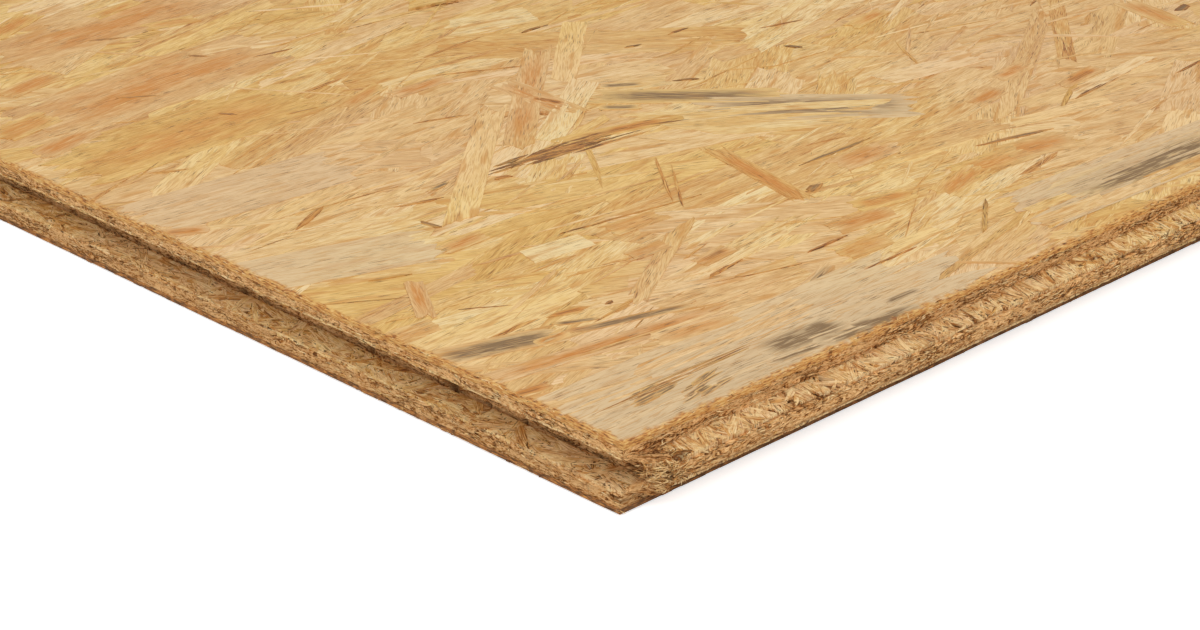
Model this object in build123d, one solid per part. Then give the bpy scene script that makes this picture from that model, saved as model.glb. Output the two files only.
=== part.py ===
"""Tongue-and-groove OSB floor panel, lying flat.

Millimetres. +X runs along the panel's length, which is also the way the face strands lie, +Y across
its width and +Z up. The origin is at the middle of the underside's outline, tongues included.

A panel is sawn from the pressed mat as one piece and then milled on all four edges. Each pair of
opposite edges takes a groove on one side and a tongue on the other, in one pass of the cutters, so
the panel is what two milled sections have in common: the one seen along its width and the one seen
along its length.
"""

import math
import os

from build123d import *

# The board: the face that shows once it is laid, and its thickness
COVER_LENGTH = 2050.0
COVER_WIDTH = 675.0
THICKNESS = 18.0

# The groove, between an upper and a lower lip that end flush with each other
UPPER_LIP = 4.8
LOWER_LIP = 5.2
GROOVE_DEPTH = 8.5
GROOVE_FLOOR_RADIUS = 0.8
MOUTH_CHAMFER = 0.4

# The tongue, which enters the groove of the next panel with a little play
TONGUE_LENGTH = 7.0
FLANK_CLEARANCE = 0.35
NOSE_RADIUS = 1.2

# The lower shoulder stands back, so that the joint closes on its upper side first
LOWER_SETBACK = 1.0

# The flanks of tongue and groove lean in by the same angle, in degrees
FLANK_ANGLE = 6.0

# How far each milled section runs past the panel before the two are crossed
OVERRUN = 10.0

NODE = "osb_panel"


def flank_rise(run: float) -> float:
    """How far a flank leans towards the middle over this run."""
    return run * math.tan(math.radians(FLANK_ANGLE))


def groove_cut() -> Sketch:
    """The groove's section: its mouth is on the line x = 0 and its floor lies towards +X."""
    mouth_low = LOWER_LIP
    mouth_high = THICKNESS - UPPER_LIP
    floor_low = mouth_low + flank_rise(GROOVE_DEPTH)
    floor_high = mouth_high - flank_rise(GROOVE_DEPTH)
    outline = Polyline(
        (0, mouth_low - MOUTH_CHAMFER),
        (MOUTH_CHAMFER, mouth_low + flank_rise(MOUTH_CHAMFER)),
        (GROOVE_DEPTH, floor_low),
        (GROOVE_DEPTH, floor_high),
        (MOUTH_CHAMFER, mouth_high - flank_rise(MOUTH_CHAMFER)),
        (0, mouth_high + MOUTH_CHAMFER),
        close=True,
    )
    cut = make_face(outline)
    floor_corners = cut.vertices().group_by(Axis.X)[-1]
    return fillet(floor_corners, GROOVE_FLOOR_RADIUS)


def tongue(shoulder: float) -> Sketch:
    """The tongue's section, rooted behind the line x = shoulder and pointing towards +X."""
    root = shoulder - LOWER_SETBACK
    nose = shoulder + TONGUE_LENGTH
    root_low = LOWER_LIP + FLANK_CLEARANCE - flank_rise(LOWER_SETBACK)
    root_high = THICKNESS - UPPER_LIP - FLANK_CLEARANCE + flank_rise(LOWER_SETBACK)
    nose_low = LOWER_LIP + FLANK_CLEARANCE + flank_rise(TONGUE_LENGTH)
    nose_high = THICKNESS - UPPER_LIP - FLANK_CLEARANCE - flank_rise(TONGUE_LENGTH)
    outline = Polyline(
        (root, root_low),
        (nose, nose_low),
        (nose, nose_high),
        (root, root_high),
        close=True,
    )
    form = make_face(outline)
    nose_corners = form.vertices().group_by(Axis.X)[-1]
    return fillet(nose_corners, NOSE_RADIUS)


def milled_section(cover: float) -> Sketch:
    """The section across one pair of milled edges, groove to tongue, centred on its overall size."""
    middle = THICKNESS / 2
    board = make_face(
        Polyline(
            (0, 0),
            (cover - LOWER_SETBACK, 0),
            (cover - LOWER_SETBACK, middle),
            (cover, middle),
            (cover, THICKNESS),
            (0, THICKNESS),
            close=True,
        )
    )
    section = board - groove_cut() + tongue(cover)
    overall = cover + TONGUE_LENGTH
    return Pos(-overall / 2, 0) * section


def panel() -> Part:
    """The milled panel: groove on the -X and +Y edges, tongue on the +X and -Y edges."""
    reach_along = COVER_LENGTH + TONGUE_LENGTH + OVERRUN
    reach_across = COVER_WIDTH + TONGUE_LENGTH + OVERRUN
    end_section = Plane.XZ * milled_section(COVER_LENGTH)
    side_section = Plane.YZ * mirror(milled_section(COVER_WIDTH), about=Plane.YZ)
    milled_ends = extrude(end_section, amount=reach_across / 2, both=True)
    milled_sides = extrude(side_section, amount=reach_along / 2, both=True)
    return milled_ends & milled_sides


def main() -> None:
    """Build the panel and write it out."""
    os.makedirs("parts", exist_ok=True)
    export_step(panel(), f"parts/{NODE}.step")


main()
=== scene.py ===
"""Dress the tongue-and-groove OSB panel and light it as in its portrait.

Metres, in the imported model's frame: +X runs along the panel, +Y across it and +Z up, with the underside
on z = 0. The sizes of the panel's own detail are written in millimetres, and MM turns them into metres.

The panel is a milled board whose two faces are a mat of pressed strands. The board, with its tongues and
grooves, is one mesh made of rings at many heights. The mats are strands scattered over each face, cut off
where the board was sawn.
"""

import logging
import math
from collections.abc import Callable
from dataclasses import dataclass, replace
from enum import Enum
from functools import partial, reduce

import bmesh
import bpy
import numpy as np
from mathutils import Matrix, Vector


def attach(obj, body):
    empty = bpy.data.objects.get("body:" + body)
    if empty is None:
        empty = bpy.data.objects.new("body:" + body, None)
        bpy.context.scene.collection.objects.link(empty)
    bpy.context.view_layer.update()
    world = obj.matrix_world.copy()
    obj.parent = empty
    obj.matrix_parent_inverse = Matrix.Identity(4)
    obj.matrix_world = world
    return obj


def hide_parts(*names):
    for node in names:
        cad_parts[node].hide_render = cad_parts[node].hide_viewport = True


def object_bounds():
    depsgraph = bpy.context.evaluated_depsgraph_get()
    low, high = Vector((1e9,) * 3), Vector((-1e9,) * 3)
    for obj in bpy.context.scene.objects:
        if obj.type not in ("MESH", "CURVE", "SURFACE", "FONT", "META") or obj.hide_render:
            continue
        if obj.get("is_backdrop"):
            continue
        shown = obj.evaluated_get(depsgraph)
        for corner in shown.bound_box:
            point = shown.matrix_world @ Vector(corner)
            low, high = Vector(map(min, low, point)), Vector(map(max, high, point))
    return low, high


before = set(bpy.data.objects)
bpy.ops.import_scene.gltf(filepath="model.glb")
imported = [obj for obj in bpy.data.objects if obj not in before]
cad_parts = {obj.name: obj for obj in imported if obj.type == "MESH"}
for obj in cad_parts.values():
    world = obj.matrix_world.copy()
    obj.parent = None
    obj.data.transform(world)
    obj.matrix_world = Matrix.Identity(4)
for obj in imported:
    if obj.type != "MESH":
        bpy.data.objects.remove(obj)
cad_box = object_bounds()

MM = 0.001
BODY = "root"
NODE = "osb_panel"
LOG = logging.getLogger(NODE)

# A strand pattern's own length and width in millimetres, how many shapes a pattern has, and the highest
# number that a strand can draw to move its grain
STRAND_LENGTH = 100.0
STRAND_WIDTH = 20.0
SHAPE_COUNT = 12
SEED_REACH = 60.0

# How many heights a profile is measured at, and how near a plane counts as on it, in metres
FINE_LEVELS = 4000
CUT_GAP = 1e-7
ON_PLANE = 1e-6

# Where the seeds of each kind begin
PATTERN_SEED = 100
FLANK_SEED = 200
FIBRE_SEED = 300
SHAG_SEED = 400
PLACED_SEED = 500

WHITE = (1.0, 1.0, 1.0, 1.0)
VECTORS = {"data_type": "FLOAT_VECTOR"}
AIM_PIXEL = (620.0, 330.0)
HASH_PRIMES = np.array([73856093, 19349663, 83492791], dtype=np.uint64)
HASH_SEED = 2654435761
HASH_MIX = np.uint64(2246822519)

Array = np.ndarray
Dice = np.random.Generator
Edge = bmesh.types.BMEdge
Mesh = bpy.types.Mesh
Piece = bpy.types.Object
Socket = bpy.types.NodeSocket
Outputs = bpy.types.NodeOutputs
Feed = Socket | float | tuple[float, ...]
Feeds = dict[str | int, Feed]
Pair = tuple[float, float]
Triple = tuple[float, float, float]
Sides = tuple[float, float, float, float]
Strands = bmesh.types.BMesh


class Wood(Enum):
    """The colours that the strands and the milled edges are mixed from, as seen on a screen."""

    CREAM = (238, 212, 158)
    STRAW = (229, 192, 127)
    HONEY = (217, 172, 102)
    GOLD = (230, 188, 106)
    ROSE = (214, 177, 137)
    AMBER = (205, 147, 78)
    RUSSET = (178, 113, 56)
    BARK = (120, 80, 46)
    PITH = (74, 40, 16)
    SLATE = (138, 110, 76)
    ASH = (215, 187, 146)
    BISCUIT = (236, 189, 131)
    TAN = (208, 154, 95)
    EMBER = (205, 136, 66)

    def paint(self) -> tuple[float, ...]:
        """This colour as shaders take it, linear and with full alpha."""
        return (*(((part / 255 + 0.055) / 1.055) ** 2.4 for part in self.value), 1.0)


Stops = tuple[tuple[float, Wood], ...]


class Face(Enum):
    """The two broad faces of the panel."""

    UPPER = "upper"
    UNDER = "under"


class Pattern(Enum):
    """The kinds of wood that a scatter lays."""

    BROAD = "broad"
    UNDERLAY = "underlay"
    SPLINTER = "splinter"
    FIBRE = "fibre"


class Draw(Enum):
    """The kinds of random value, by the number of the input that takes the lowest."""

    FLOAT_VECTOR = 0
    FLOAT = 2
    INT = 4


class EndCut(Enum):
    """How a strand's end was parted from the log."""

    KNIFE = "knife"
    TORN = "torn"
    FEATHER = "feather"


@dataclass(frozen=True)
class LatticeNoise:
    """Smooth random values over space, the same on every run, with lumps of a size along each axis."""

    seed: int
    reach: Triple

    def corner(self, cells: Array) -> Array:
        """A random value for each lattice cell.

        Args:
            cells: whole-numbered cell places, one row each.

        Returns:
            One value from 0 to 1 for each row.
        """
        mixed = (cells.astype(np.int64).astype(np.uint64) * HASH_PRIMES).sum(axis=1, dtype=np.uint64)
        mixed = mixed + np.uint64(self.seed * HASH_SEED)
        for turn in (15, 13, 16):
            mixed = (mixed ^ (mixed >> np.uint64(turn))) * HASH_MIX
        return (mixed >> np.uint64(40)).astype(np.float64) / float(1 << 24)

    def at(self, points: Array) -> Array:
        """The noise at each point, smooth between the lattice's corners.

        Args:
            points: places in millimetres, one row each.

        Returns:
            One value from 0 to 1 for each row.
        """
        places = points / np.array(self.reach)
        base = np.floor(places)
        part = places - base
        part = part * part * (3 - 2 * part)
        total = np.zeros(len(places))
        for step in np.ndindex(2, 2, 2):
            offset = np.array(step)
            weight = np.prod(np.where(offset == 1, part, 1 - part), axis=1)
            total += weight * self.corner(base + offset)
        return total


class Graph:
    """Adds nodes to one node tree and joins them, so that a tree reads like a sum."""

    def __init__(self, tree: bpy.types.NodeTree) -> None:
        """Keep the tree that the nodes go into."""
        self.tree = tree

    def add(self, kind: str, feeds: Feeds | None = None, **settings: object) -> bpy.types.Node:
        """Add one node.

        Args:
            kind: the node's type name.
            feeds: what goes into its inputs.
            settings: the node's own options.

        Returns:
            The new node.
        """
        node = self.tree.nodes.new(kind)
        for name, value in settings.items():
            setattr(node, name, value)
        self.feed(node, feeds or {})
        return node

    def feed(self, node: bpy.types.Node, feeds: Feeds) -> None:
        """Feed a node.

        Args:
            node: the node.
            feeds: a socket to link or a plain value for each input, by name or number.
        """
        for key, value in feeds.items():
            if isinstance(value, Socket):
                self.tree.links.new(value, node.inputs[key])
            else:
                node.inputs[key].default_value = value

    def math(self, operation: str, *feeds: Feed) -> Socket:
        """The result of a sum on one number, two or three."""
        return self.add("ShaderNodeMath", dict(enumerate(feeds)), operation=operation).outputs[0]

    def fold(self, operation: str, *feeds: Feed) -> Socket:
        """The result of one sum taken along a row of numbers."""
        return reduce(partial(self.math, operation), feeds)

    def scaled(self, value: Feed, scale: Feed, plus: Feed) -> Socket:
        """A number times another, plus a third."""
        return self.math("MULTIPLY_ADD", value, scale, plus)

    def about(self, value: Feed, reach: float) -> Socket:
        """A number from 0 to 1, spread over a reach with its middle at nothing."""
        return self.scaled(value, reach, -reach / 2)

    def vector(self, operation: str, first: Feed, second: Feed) -> Socket:
        """The result of a sum on two vectors."""
        return self.add("ShaderNodeVectorMath", {0: first, 1: second}, operation=operation).outputs[0]

    def split(self, vector: Feed) -> tuple[Socket, ...]:
        """The three parts of a vector."""
        return tuple(self.add("ShaderNodeSeparateXYZ", {0: vector}).outputs)

    def join(self, *parts: Feed) -> Socket:
        """A vector from its parts, with nothing for a part left out."""
        return self.add("ShaderNodeCombineXYZ", dict(enumerate(parts))).outputs[0]

    def blend(self, share: Feed, first: Feed, second: Feed) -> Socket:
        """A number between two others."""
        return self.add("ShaderNodeMix", {0: share, 2: first, 3: second}, data_type="FLOAT").outputs[0]

    def mix(self, share: Feed, first: Feed, second: Feed | Wood, how: str = "MIX") -> Socket:
        """A colour between two others, or the second laid on the first in the way named."""
        feeds = {0: share, 6: first, 7: second.paint() if isinstance(second, Wood) else second}
        return self.add("ShaderNodeMix", feeds, data_type="RGBA", blend_type=how).outputs[2]

    def step(self, value: Feed, low: float, high: float, before: float = 0.0, after: float = 1.0) -> Socket:
        """A smooth step from what comes before to what comes after, as a value goes from low to high."""
        feeds = {"Value": value, "From Min": low, "From Max": high, "To Min": before, "To Max": after}
        return self.add("ShaderNodeMapRange", feeds, interpolation_type="SMOOTHSTEP").outputs["Result"]

    def place(self) -> Socket:
        """The place on the piece, in millimetres."""
        return self.vector("DIVIDE", self.add("ShaderNodeTexCoord").outputs["Object"], (MM, MM, MM))

    def noise(self, place: Feed, reach: Pair | Triple, shift: Pair | Triple, detail: float = 1.0,
              roughness: float = 0.5) -> Socket:
        """Smooth noise whose lumps have a size of their own along each axis.

        Args:
            place: where it is read, in millimetres.
            reach: the lumps' size along three axes, or along two where only two count.
            shift: moves the pattern, so that two noises differ.
            detail: how many finer noises lie on it.
            roughness: how strong the finer ones are.

        Returns:
            Values around 0.5.
        """
        lumps = self.vector("DIVIDE", place, (*reach, 1.0)[:3])
        moved = self.vector("ADD", lumps, (*shift, 0.0)[:3])
        feeds = {"Vector": moved, "Scale": 1.0, "Detail": detail, "Roughness": roughness}
        return self.add("ShaderNodeTexNoise", feeds, noise_dimensions=f"{len(reach)}D").outputs["Fac"]

    def cells(self, place: Feed, reach: Pair | Triple, **settings: object) -> Outputs:
        """Cells like a honeycomb's, each with a random colour.

        Args:
            place: where they are read, in millimetres.
            reach: a cell's size along three axes, or along two where only two count.
            settings: what the cells give, where it isn't their colour.

        Returns:
            The cells' outputs, with each place given in units of one cell.
        """
        feeds = {"Vector": self.vector("DIVIDE", place, (*reach, 1.0)[:3]), "Scale": 1.0}
        axes = f"{len(reach)}D"
        return self.add("ShaderNodeTexVoronoi", feeds, voronoi_dimensions=axes, **settings).outputs

    def ramp(self, value: Feed, stops: Stops) -> Socket:
        """A colour picked along a row of wood colours.

        Args:
            value: where on the row, 0 to 1.
            stops: each colour and its place.

        Returns:
            The colour.
        """
        node = self.add("ShaderNodeValToRGB", {0: value})
        elements = node.color_ramp.elements
        while len(elements) < len(stops):
            elements.new(0.5)
        for element, (place, wood) in zip(elements, stops, strict=True):
            element.position = place
            element.color = wood.paint()
        return node.outputs["Color"]

    def bump(self, strength: float, distance: float, height: Feed) -> Socket:
        """A normal bent by a height."""
        feeds = {"Strength": strength, "Distance": distance, "Height": height}
        return self.add("ShaderNodeBump", feeds).outputs["Normal"]


class NodeGroup:
    """A node group that is built once, with named inputs and outputs."""

    name = "group"
    kind = "ShaderNodeTree"
    takes: dict[str, str] = {}
    gives: dict[str, str] = {}

    def tree(self) -> bpy.types.NodeTree:
        """The group, made when it is first asked for.

        Returns:
            The group's tree.
        """
        found = bpy.data.node_groups.get(self.name)
        if found:
            return found
        tree = bpy.data.node_groups.new(self.name, self.kind)
        for way, sockets in (("INPUT", self.takes), ("OUTPUT", self.gives)):
            for name, sort in sockets.items():
                tree.interface.new_socket(name, in_out=way, socket_type=f"NodeSocket{sort}")
        graph = Graph(tree)
        given = graph.add("NodeGroupInput").outputs
        graph.add("NodeGroupOutput", self.wire(graph, given))
        return tree

    def wire(self, graph: Graph, given: Outputs) -> Feeds:
        """Build the group: what its outputs give by name, from its inputs."""
        raise NotImplementedError

    def place(self, graph: Graph, feeds: Feeds) -> Outputs:
        """The outputs of the group, put into a material with what its inputs take."""
        return graph.add("ShaderNodeGroup", feeds, node_tree=self.tree()).outputs


class FibreGrain(NodeGroup):
    """Wood fibre in a strand: feathery patches, each with its own lie, and the streaks in them."""

    name = "fibre_grain"
    takes = {"Along": "Vector"}
    gives = {"Streak": "Float", "Patch": "Float", "Line": "Float", "Fleck": "Float"}
    patch = (22.0, 4.0)

    def wire(self, graph: Graph, given: Outputs) -> Feeds:
        """Cells with torn ends, and in each cell fine noises drawn out along its own slant.

        Args:
            graph: the group's tree.
            given: its inputs.

        Returns:
            What its outputs give.
        """
        place = given["Along"]
        run, across, _ = graph.split(place)
        comb = graph.about(graph.noise(place, (22.0, 0.6), (4.0, 2.0)), 22.0)
        sway = graph.noise(place, (14.0, 4.0), (9.0, 5.0))
        torn = graph.join(graph.math("ADD", run, comb), graph.math("ADD", across, graph.about(sway, 4.0)))
        found = graph.cells(torn, self.patch)
        slant, shift, tone = graph.split(found["Color"])
        middle = graph.vector("MULTIPLY", found["Position"], (*self.patch, 1.0))
        along, aside, _ = graph.split(graph.vector("SUBTRACT", place, middle))
        aside = graph.scaled(along, graph.about(slant, 0.25), aside)
        aside = graph.math("ADD", aside, graph.about(sway, 1.4))
        lie = graph.join(graph.scaled(shift, 170.0, along), graph.scaled(tone, 90.0, aside))
        line = graph.noise(lie, (8.0, 0.38), (17.0, 3.0))
        fleck = graph.noise(place, (6.0, 0.3), (5.0, 41.0))
        cluster = graph.noise(place, (20.0, 5.0), (7.0, 15.0))
        return {
            "Streak": graph.noise(lie, (5.5, 0.34), (0.0, 0.0), 2.0, 0.6),
            "Patch": tone,
            "Line": graph.step(line, 0.58, 0.68),
            "Fleck": graph.math("MULTIPLY", graph.step(fleck, 0.64, 0.74), graph.step(cluster, 0.45, 0.62)),
        }


class MilledWood(NodeGroup):
    """The sawn and milled edge: flat strands lying on one another, with pores and open seams."""

    name = "milled_wood"
    takes = {"Place": "Vector", "Hollow": "Float"}
    gives = {"Color": "Color", "Roughness": "Float", "Height": "Float"}
    strand = (7.0, 7.0, 0.8)
    stops = ((0.0, Wood.BISCUIT), (0.5, Wood.TAN), (0.8, Wood.RUSSET), (1.0, Wood.BARK))

    def wire(self, graph: Graph, given: Outputs) -> Feeds:
        """Cells as flat as strands, and in each cell fibre along a slant of its own.

        Args:
            graph: the group's tree.
            given: its inputs.

        Returns:
            What its outputs give.
        """
        place = given["Place"]
        x, y, z = graph.split(place)
        sway = graph.noise(place, (10.0, 10.0, 3.0), (3.0, 8.0, 1.0), 2.0)
        level = graph.math("ADD", z, graph.about(sway, 4.0))
        lying = graph.join(x, y, level)
        tone, slant, shift = graph.split(graph.cells(lying, self.strand)["Color"])
        run = graph.math("ADD", x, y)
        rise = graph.scaled(run, graph.about(slant, 0.4), level)
        lie = graph.join(graph.scaled(shift, 60.0, run), graph.scaled(tone, 40.0, rise))
        streak = graph.noise(lie, (2.2, 0.3), (0.0, 0.0), 2.0, 0.6)
        speck = graph.noise(place, (0.75, 0.75, 0.4), (31.0, 7.0, 2.0))
        patch = graph.noise(lying, (16.0, 16.0, 2.2), (12.0, 5.0, 1.0))
        uneven = [graph.about(value, reach) for value, reach in ((streak, 2.9), (speck, 1.5), (patch, 0.6))]
        pick = graph.fold("ADD", graph.scaled(tone, 0.45, 0.15), *uneven)
        crumbly = graph.step(patch, 0.42, 0.62, 0.2, 1.0)
        pore = graph.math("MULTIPLY", graph.step(speck, 0.6, 0.67), crumbly)
        seam = graph.cells(lying, self.strand, feature="DISTANCE_TO_EDGE")["Distance"]
        seam = graph.math("MULTIPLY", graph.step(seam, 0.0, 0.11, 0.9, 0.0), crumbly)
        tear = graph.step(streak, 0.66, 0.74, 0.0, 0.75)
        # Pores, seams and tears are the wood's own; the fourth input is painted shade from the board
        dark = graph.fold("MAXIMUM", pore, seam, tear, given["Hollow"])
        return {
            "Color": graph.mix(graph.math("MULTIPLY", dark, 0.75), graph.ramp(pick, self.stops), Wood.PITH),
            "Roughness": graph.scaled(dark, 0.2, 0.7),
            "Height": graph.math("SUBTRACT", graph.scaled(tone, 0.5, streak), dark),
        }


@dataclass(frozen=True)
class Finish:
    """How a surface looks, as a material of the same name."""

    name: str
    specular: float = 0.2

    def material(self) -> bpy.types.Material:
        """The finish as a material, made when it is first asked for.

        Returns:
            The material.
        """
        found = bpy.data.materials.get(self.name)
        if found:
            return found
        material = bpy.data.materials.new(self.name)
        material.use_nodes = True
        graph = Graph(material.node_tree)
        shader = material.node_tree.nodes["Principled BSDF"]
        graph.feed(shader, {"Specular IOR Level": self.specular, **self.feeds(graph)})
        return material

    def feeds(self, graph: Graph) -> Feeds:
        """What feeds the shader's inputs, by name."""
        raise NotImplementedError


@dataclass(frozen=True)
class StrandFinish(Finish):
    """The face of a strand: its own tone, growth lines, fibre, stain and painted shade along its sides."""

    bump: float = 0.00018
    sawn: Sides | None = None
    # Crumb colours for painted shade on the rim beside a tongue, where asked for
    tongue_shade: Stops = ()
    porous: float = 0.0
    fineness: float = 1.0
    streaky: float = 1.1
    patchy: float = 0.32
    ringed: float = 0.2
    blush: float = 0.38
    gilt: float = 0.45
    lined: float = 0.5
    lining: Wood = Wood.AMBER
    stops: Stops = (
        (0.0, Wood.CREAM), (0.3, Wood.STRAW), (0.56, Wood.HONEY), (0.76, Wood.AMBER), (0.92, Wood.RUSSET),
        (1.0, Wood.BARK),
    )
    crumbs: Stops = (
        (0.3, Wood.STRAW), (0.4, Wood.HONEY), (0.5, Wood.AMBER), (0.59, Wood.RUSSET), (0.7, Wood.PITH),
    )

    def feeds(self, graph: Graph) -> Feeds:
        """The strand's colour, roughness and bump, from what each strand keeps on its points.

        Args:
            graph: the material's tree.

        Returns:
            What feeds the shader's inputs.
        """
        kept = {
            name: graph.split(graph.add("ShaderNodeAttribute", attribute_name=name).outputs["Vector"])
            for name in ("grain", "dye", "stretch")
        }
        run, across, seed = kept["grain"]
        tone, stain, figure = kept["dye"]
        length, width, _ = kept["stretch"]
        half_run = graph.math("MULTIPLY", length, STRAND_LENGTH / 2)
        half = graph.math("MULTIPLY", width, STRAND_WIDTH / 2)
        run = graph.math("DIVIDE", run, MM)
        across = graph.math("DIVIDE", across, MM)
        inset = graph.math("SUBTRACT", half, graph.math("ABSOLUTE", across))
        ending = graph.math("DIVIDE", graph.math("ABSOLUTE", run), half_run)
        aside = graph.step(graph.math("DIVIDE", inset, half), 0.1, 0.85)
        soiled = graph.fold("MULTIPLY", aside, graph.step(ending, 0.35, 0.95, 1.0, 0.0), stain)
        along = graph.join(
            graph.scaled(seed, 83.0, graph.math("MULTIPLY", run, self.fineness)),
            graph.scaled(seed, 47.0, graph.math("MULTIPLY", across, self.fineness)),
        )
        fibre = FibreGrain().place(graph, {"Along": along})
        colour = graph.ramp(self.tone(graph, along, tone, figure, fibre), self.stops)
        colour = self.hue(graph, colour, along, seed, tone)
        colour = graph.mix(graph.step(figure, -1.0, 0.0, 0.8, 0.0), colour, Wood.ASH)
        colour = graph.mix(graph.math("MULTIPLY", fibre["Line"], self.lined), colour, self.lining)
        colour = self.soil(graph, colour, along, soiled)
        colour = graph.mix(graph.math("MULTIPLY", fibre["Fleck"], 0.75), colour, Wood.BARK)
        # Painted shade along the strand's sides, in patches, where gaps between strands would shade them
        shade_patches = graph.step(graph.noise(along, (9.0, 3.0), (1.0, 9.0)), 0.5, 0.68)
        rim = graph.fold("MULTIPLY", graph.step(inset, 0.0, 0.3, 0.55, 0.0), shade_patches, graph.step(half, 1.0, 4.0))
        colour = graph.mix(rim, colour, Wood.RUSSET)
        if self.porous:
            colour = self.pores(graph, colour, along)
            # Strands darker than the row, the flank's marks, go nearly black: painted shade where voids are
            colour = graph.mix(graph.step(tone, 1.05, 1.15, 0.0, 0.85), colour, Wood.PITH)
        if self.sawn:
            colour = self.fray(graph, colour)
        height = graph.scaled(fibre["Patch"], 0.4, fibre["Streak"])
        height = graph.math("SUBTRACT", height, graph.math("MAXIMUM", fibre["Fleck"], fibre["Line"]))
        return {
            "Base Color": colour,
            "Roughness": graph.blend(fibre["Streak"], 0.5, 0.85),
            "Normal": graph.bump(0.6, self.bump, height),
        }

    def tone(self, graph: Graph, along: Feed, tone: Feed, figure: Feed, fibre: Outputs) -> Socket:
        """Where on the row of wood colours each spot lies.

        Args:
            graph: the material's tree.
            along: the place in the strand, in millimetres along and across its grain.
            tone: the strand's own place on the row.
            figure: how strongly its growth lines show, where less than none is bleached.
            fibre: the fibre's outputs.

        Returns:
            The place on the row.
        """
        bend = graph.math("MULTIPLY", graph.noise(along, (70.0, 14.0), (2.0, 6.0)), 7.0)
        ring = graph.math("FRACT", graph.scaled(graph.split(along)[1], 0.42, bend))
        ring = graph.fold("MULTIPLY", graph.math("POWER", ring, 3.0), figure, self.ringed)
        streak = graph.about(fibre["Streak"], self.streaky)
        return graph.fold("ADD", tone, streak, graph.about(fibre["Patch"], self.patchy), ring)

    def hue(self, graph: Graph, colour: Feed, along: Feed, seed: Feed, tone: Feed) -> Socket:
        """Pink strands, yellow strands, and amber spots on any of them.

        Args:
            graph: the material's tree.
            colour: the wood's colour.
            along: the place in the strand, in millimetres along and across its grain.
            seed: the strand's own number.
            tone: the strand's own place on the row of colours.

        Returns:
            The colour with the strand's own hue.
        """
        draw = graph.math("FRACT", graph.math("MULTIPLY", seed, 0.73))
        region = graph.noise(graph.place(), (150.0, 90.0, 60.0), (1.0, 4.0, 2.0), 2.0)
        spot = graph.noise(along, (22.0, 3.5), (2.0, 12.0), 2.0)
        pale = graph.step(tone, 0.5, 0.75, self.blush, 0.0)
        pink = graph.math("MULTIPLY", graph.step(draw, 0.55, 0.95), pale)
        colour = graph.mix(pink, colour, Wood.ROSE, "COLOR")
        colour = graph.mix(graph.step(draw, 0.05, 0.4, self.gilt, 0.0), colour, Wood.GOLD, "COLOR")
        pink = graph.math("MULTIPLY", graph.step(region, 0.44, 0.6), pale)
        colour = graph.mix(pink, colour, Wood.ROSE, "COLOR")
        return graph.mix(graph.step(spot, 0.57, 0.72, 0.0, 0.7), colour, Wood.AMBER)

    def soil(self, graph: Graph, colour: Feed, along: Feed, stain: Feed) -> Socket:
        """Grey stain in clouds of short dashes along the grain, or an amber smudge.

        Args:
            graph: the material's tree.
            colour: the wood's colour.
            along: the place in the strand, in millimetres along and across its grain.
            stain: how strong it is: grey above none, amber below it, with a dark heart near -1 and below.

        Returns:
            The colour with its stain.
        """
        cloud = graph.noise(along, (26.0, 6.0), (8.0, 1.0), 3.0)
        dash = graph.noise(along, (7.0, 0.5), (3.0, 7.0))
        grey = (graph.step(cloud, 0.22, 0.4, 0.0, 1.35), graph.step(dash, 0.36, 0.54, 0.4, 1.0))
        amber = (graph.step(cloud, 0.32, 0.52, -0.35, -1.0), graph.step(dash, 0.35, 0.6, 0.5, 1.0))
        heart = (graph.step(stain, -2.0, -0.9, 0.9, 0.0), graph.step(dash, 0.38, 0.58, 0.15, 1.0))
        colour = graph.mix(graph.fold("MULTIPLY", *grey, stain), colour, Wood.SLATE)
        colour = graph.mix(graph.fold("MULTIPLY", *amber, stain), colour, Wood.EMBER)
        return graph.mix(graph.math("MULTIPLY", *heart), colour, Wood.BARK)

    def pores(self, graph: Graph, colour: Feed, along: Feed) -> Socket:
        """Pale chips, partly pale wood and partly painted highlight, their dark sides in painted shade, and
        dark pores and cracks, where the cutter tore the core open.

        Args:
            graph: the material's tree.
            colour: the wood's colour.
            along: the place in the strand, in millimetres along and across its grain.

        Returns:
            The colour with its chips and pores.
        """
        place = graph.place()
        chip_light_and_shade = graph.noise(place, (2.6, 2.6, 1.4), (4.0, 8.0, 3.0), 3.0, 0.65)
        small = graph.noise(place, (0.9, 0.9, 0.7), (2.0, 5.0, 9.0))
        crack = graph.noise(along, (4.0, 0.7), (7.0, 3.0))
        cluster = graph.noise(place, (9.0, 9.0, 5.0), (1.0, 2.0, 6.0))
        # Pale chips, partly pale wood and partly painted highlight, and russet as painted shade on their dark
        # sides
        colour = graph.mix(graph.step(chip_light_and_shade, 0.52, 0.66, 0.0, 0.6), colour, Wood.CREAM)
        colour = graph.mix(graph.step(chip_light_and_shade, 0.34, 0.48, 0.4, 0.0), colour, Wood.RUSSET)
        hole = graph.math("MAXIMUM", graph.step(small, 0.64, 0.7), graph.step(crack, 0.66, 0.74))
        hole = graph.math("MULTIPLY", hole, graph.step(cluster, 0.4, 0.58, 0.1, self.porous))
        return graph.mix(hole, colour, Wood.PITH)

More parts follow.
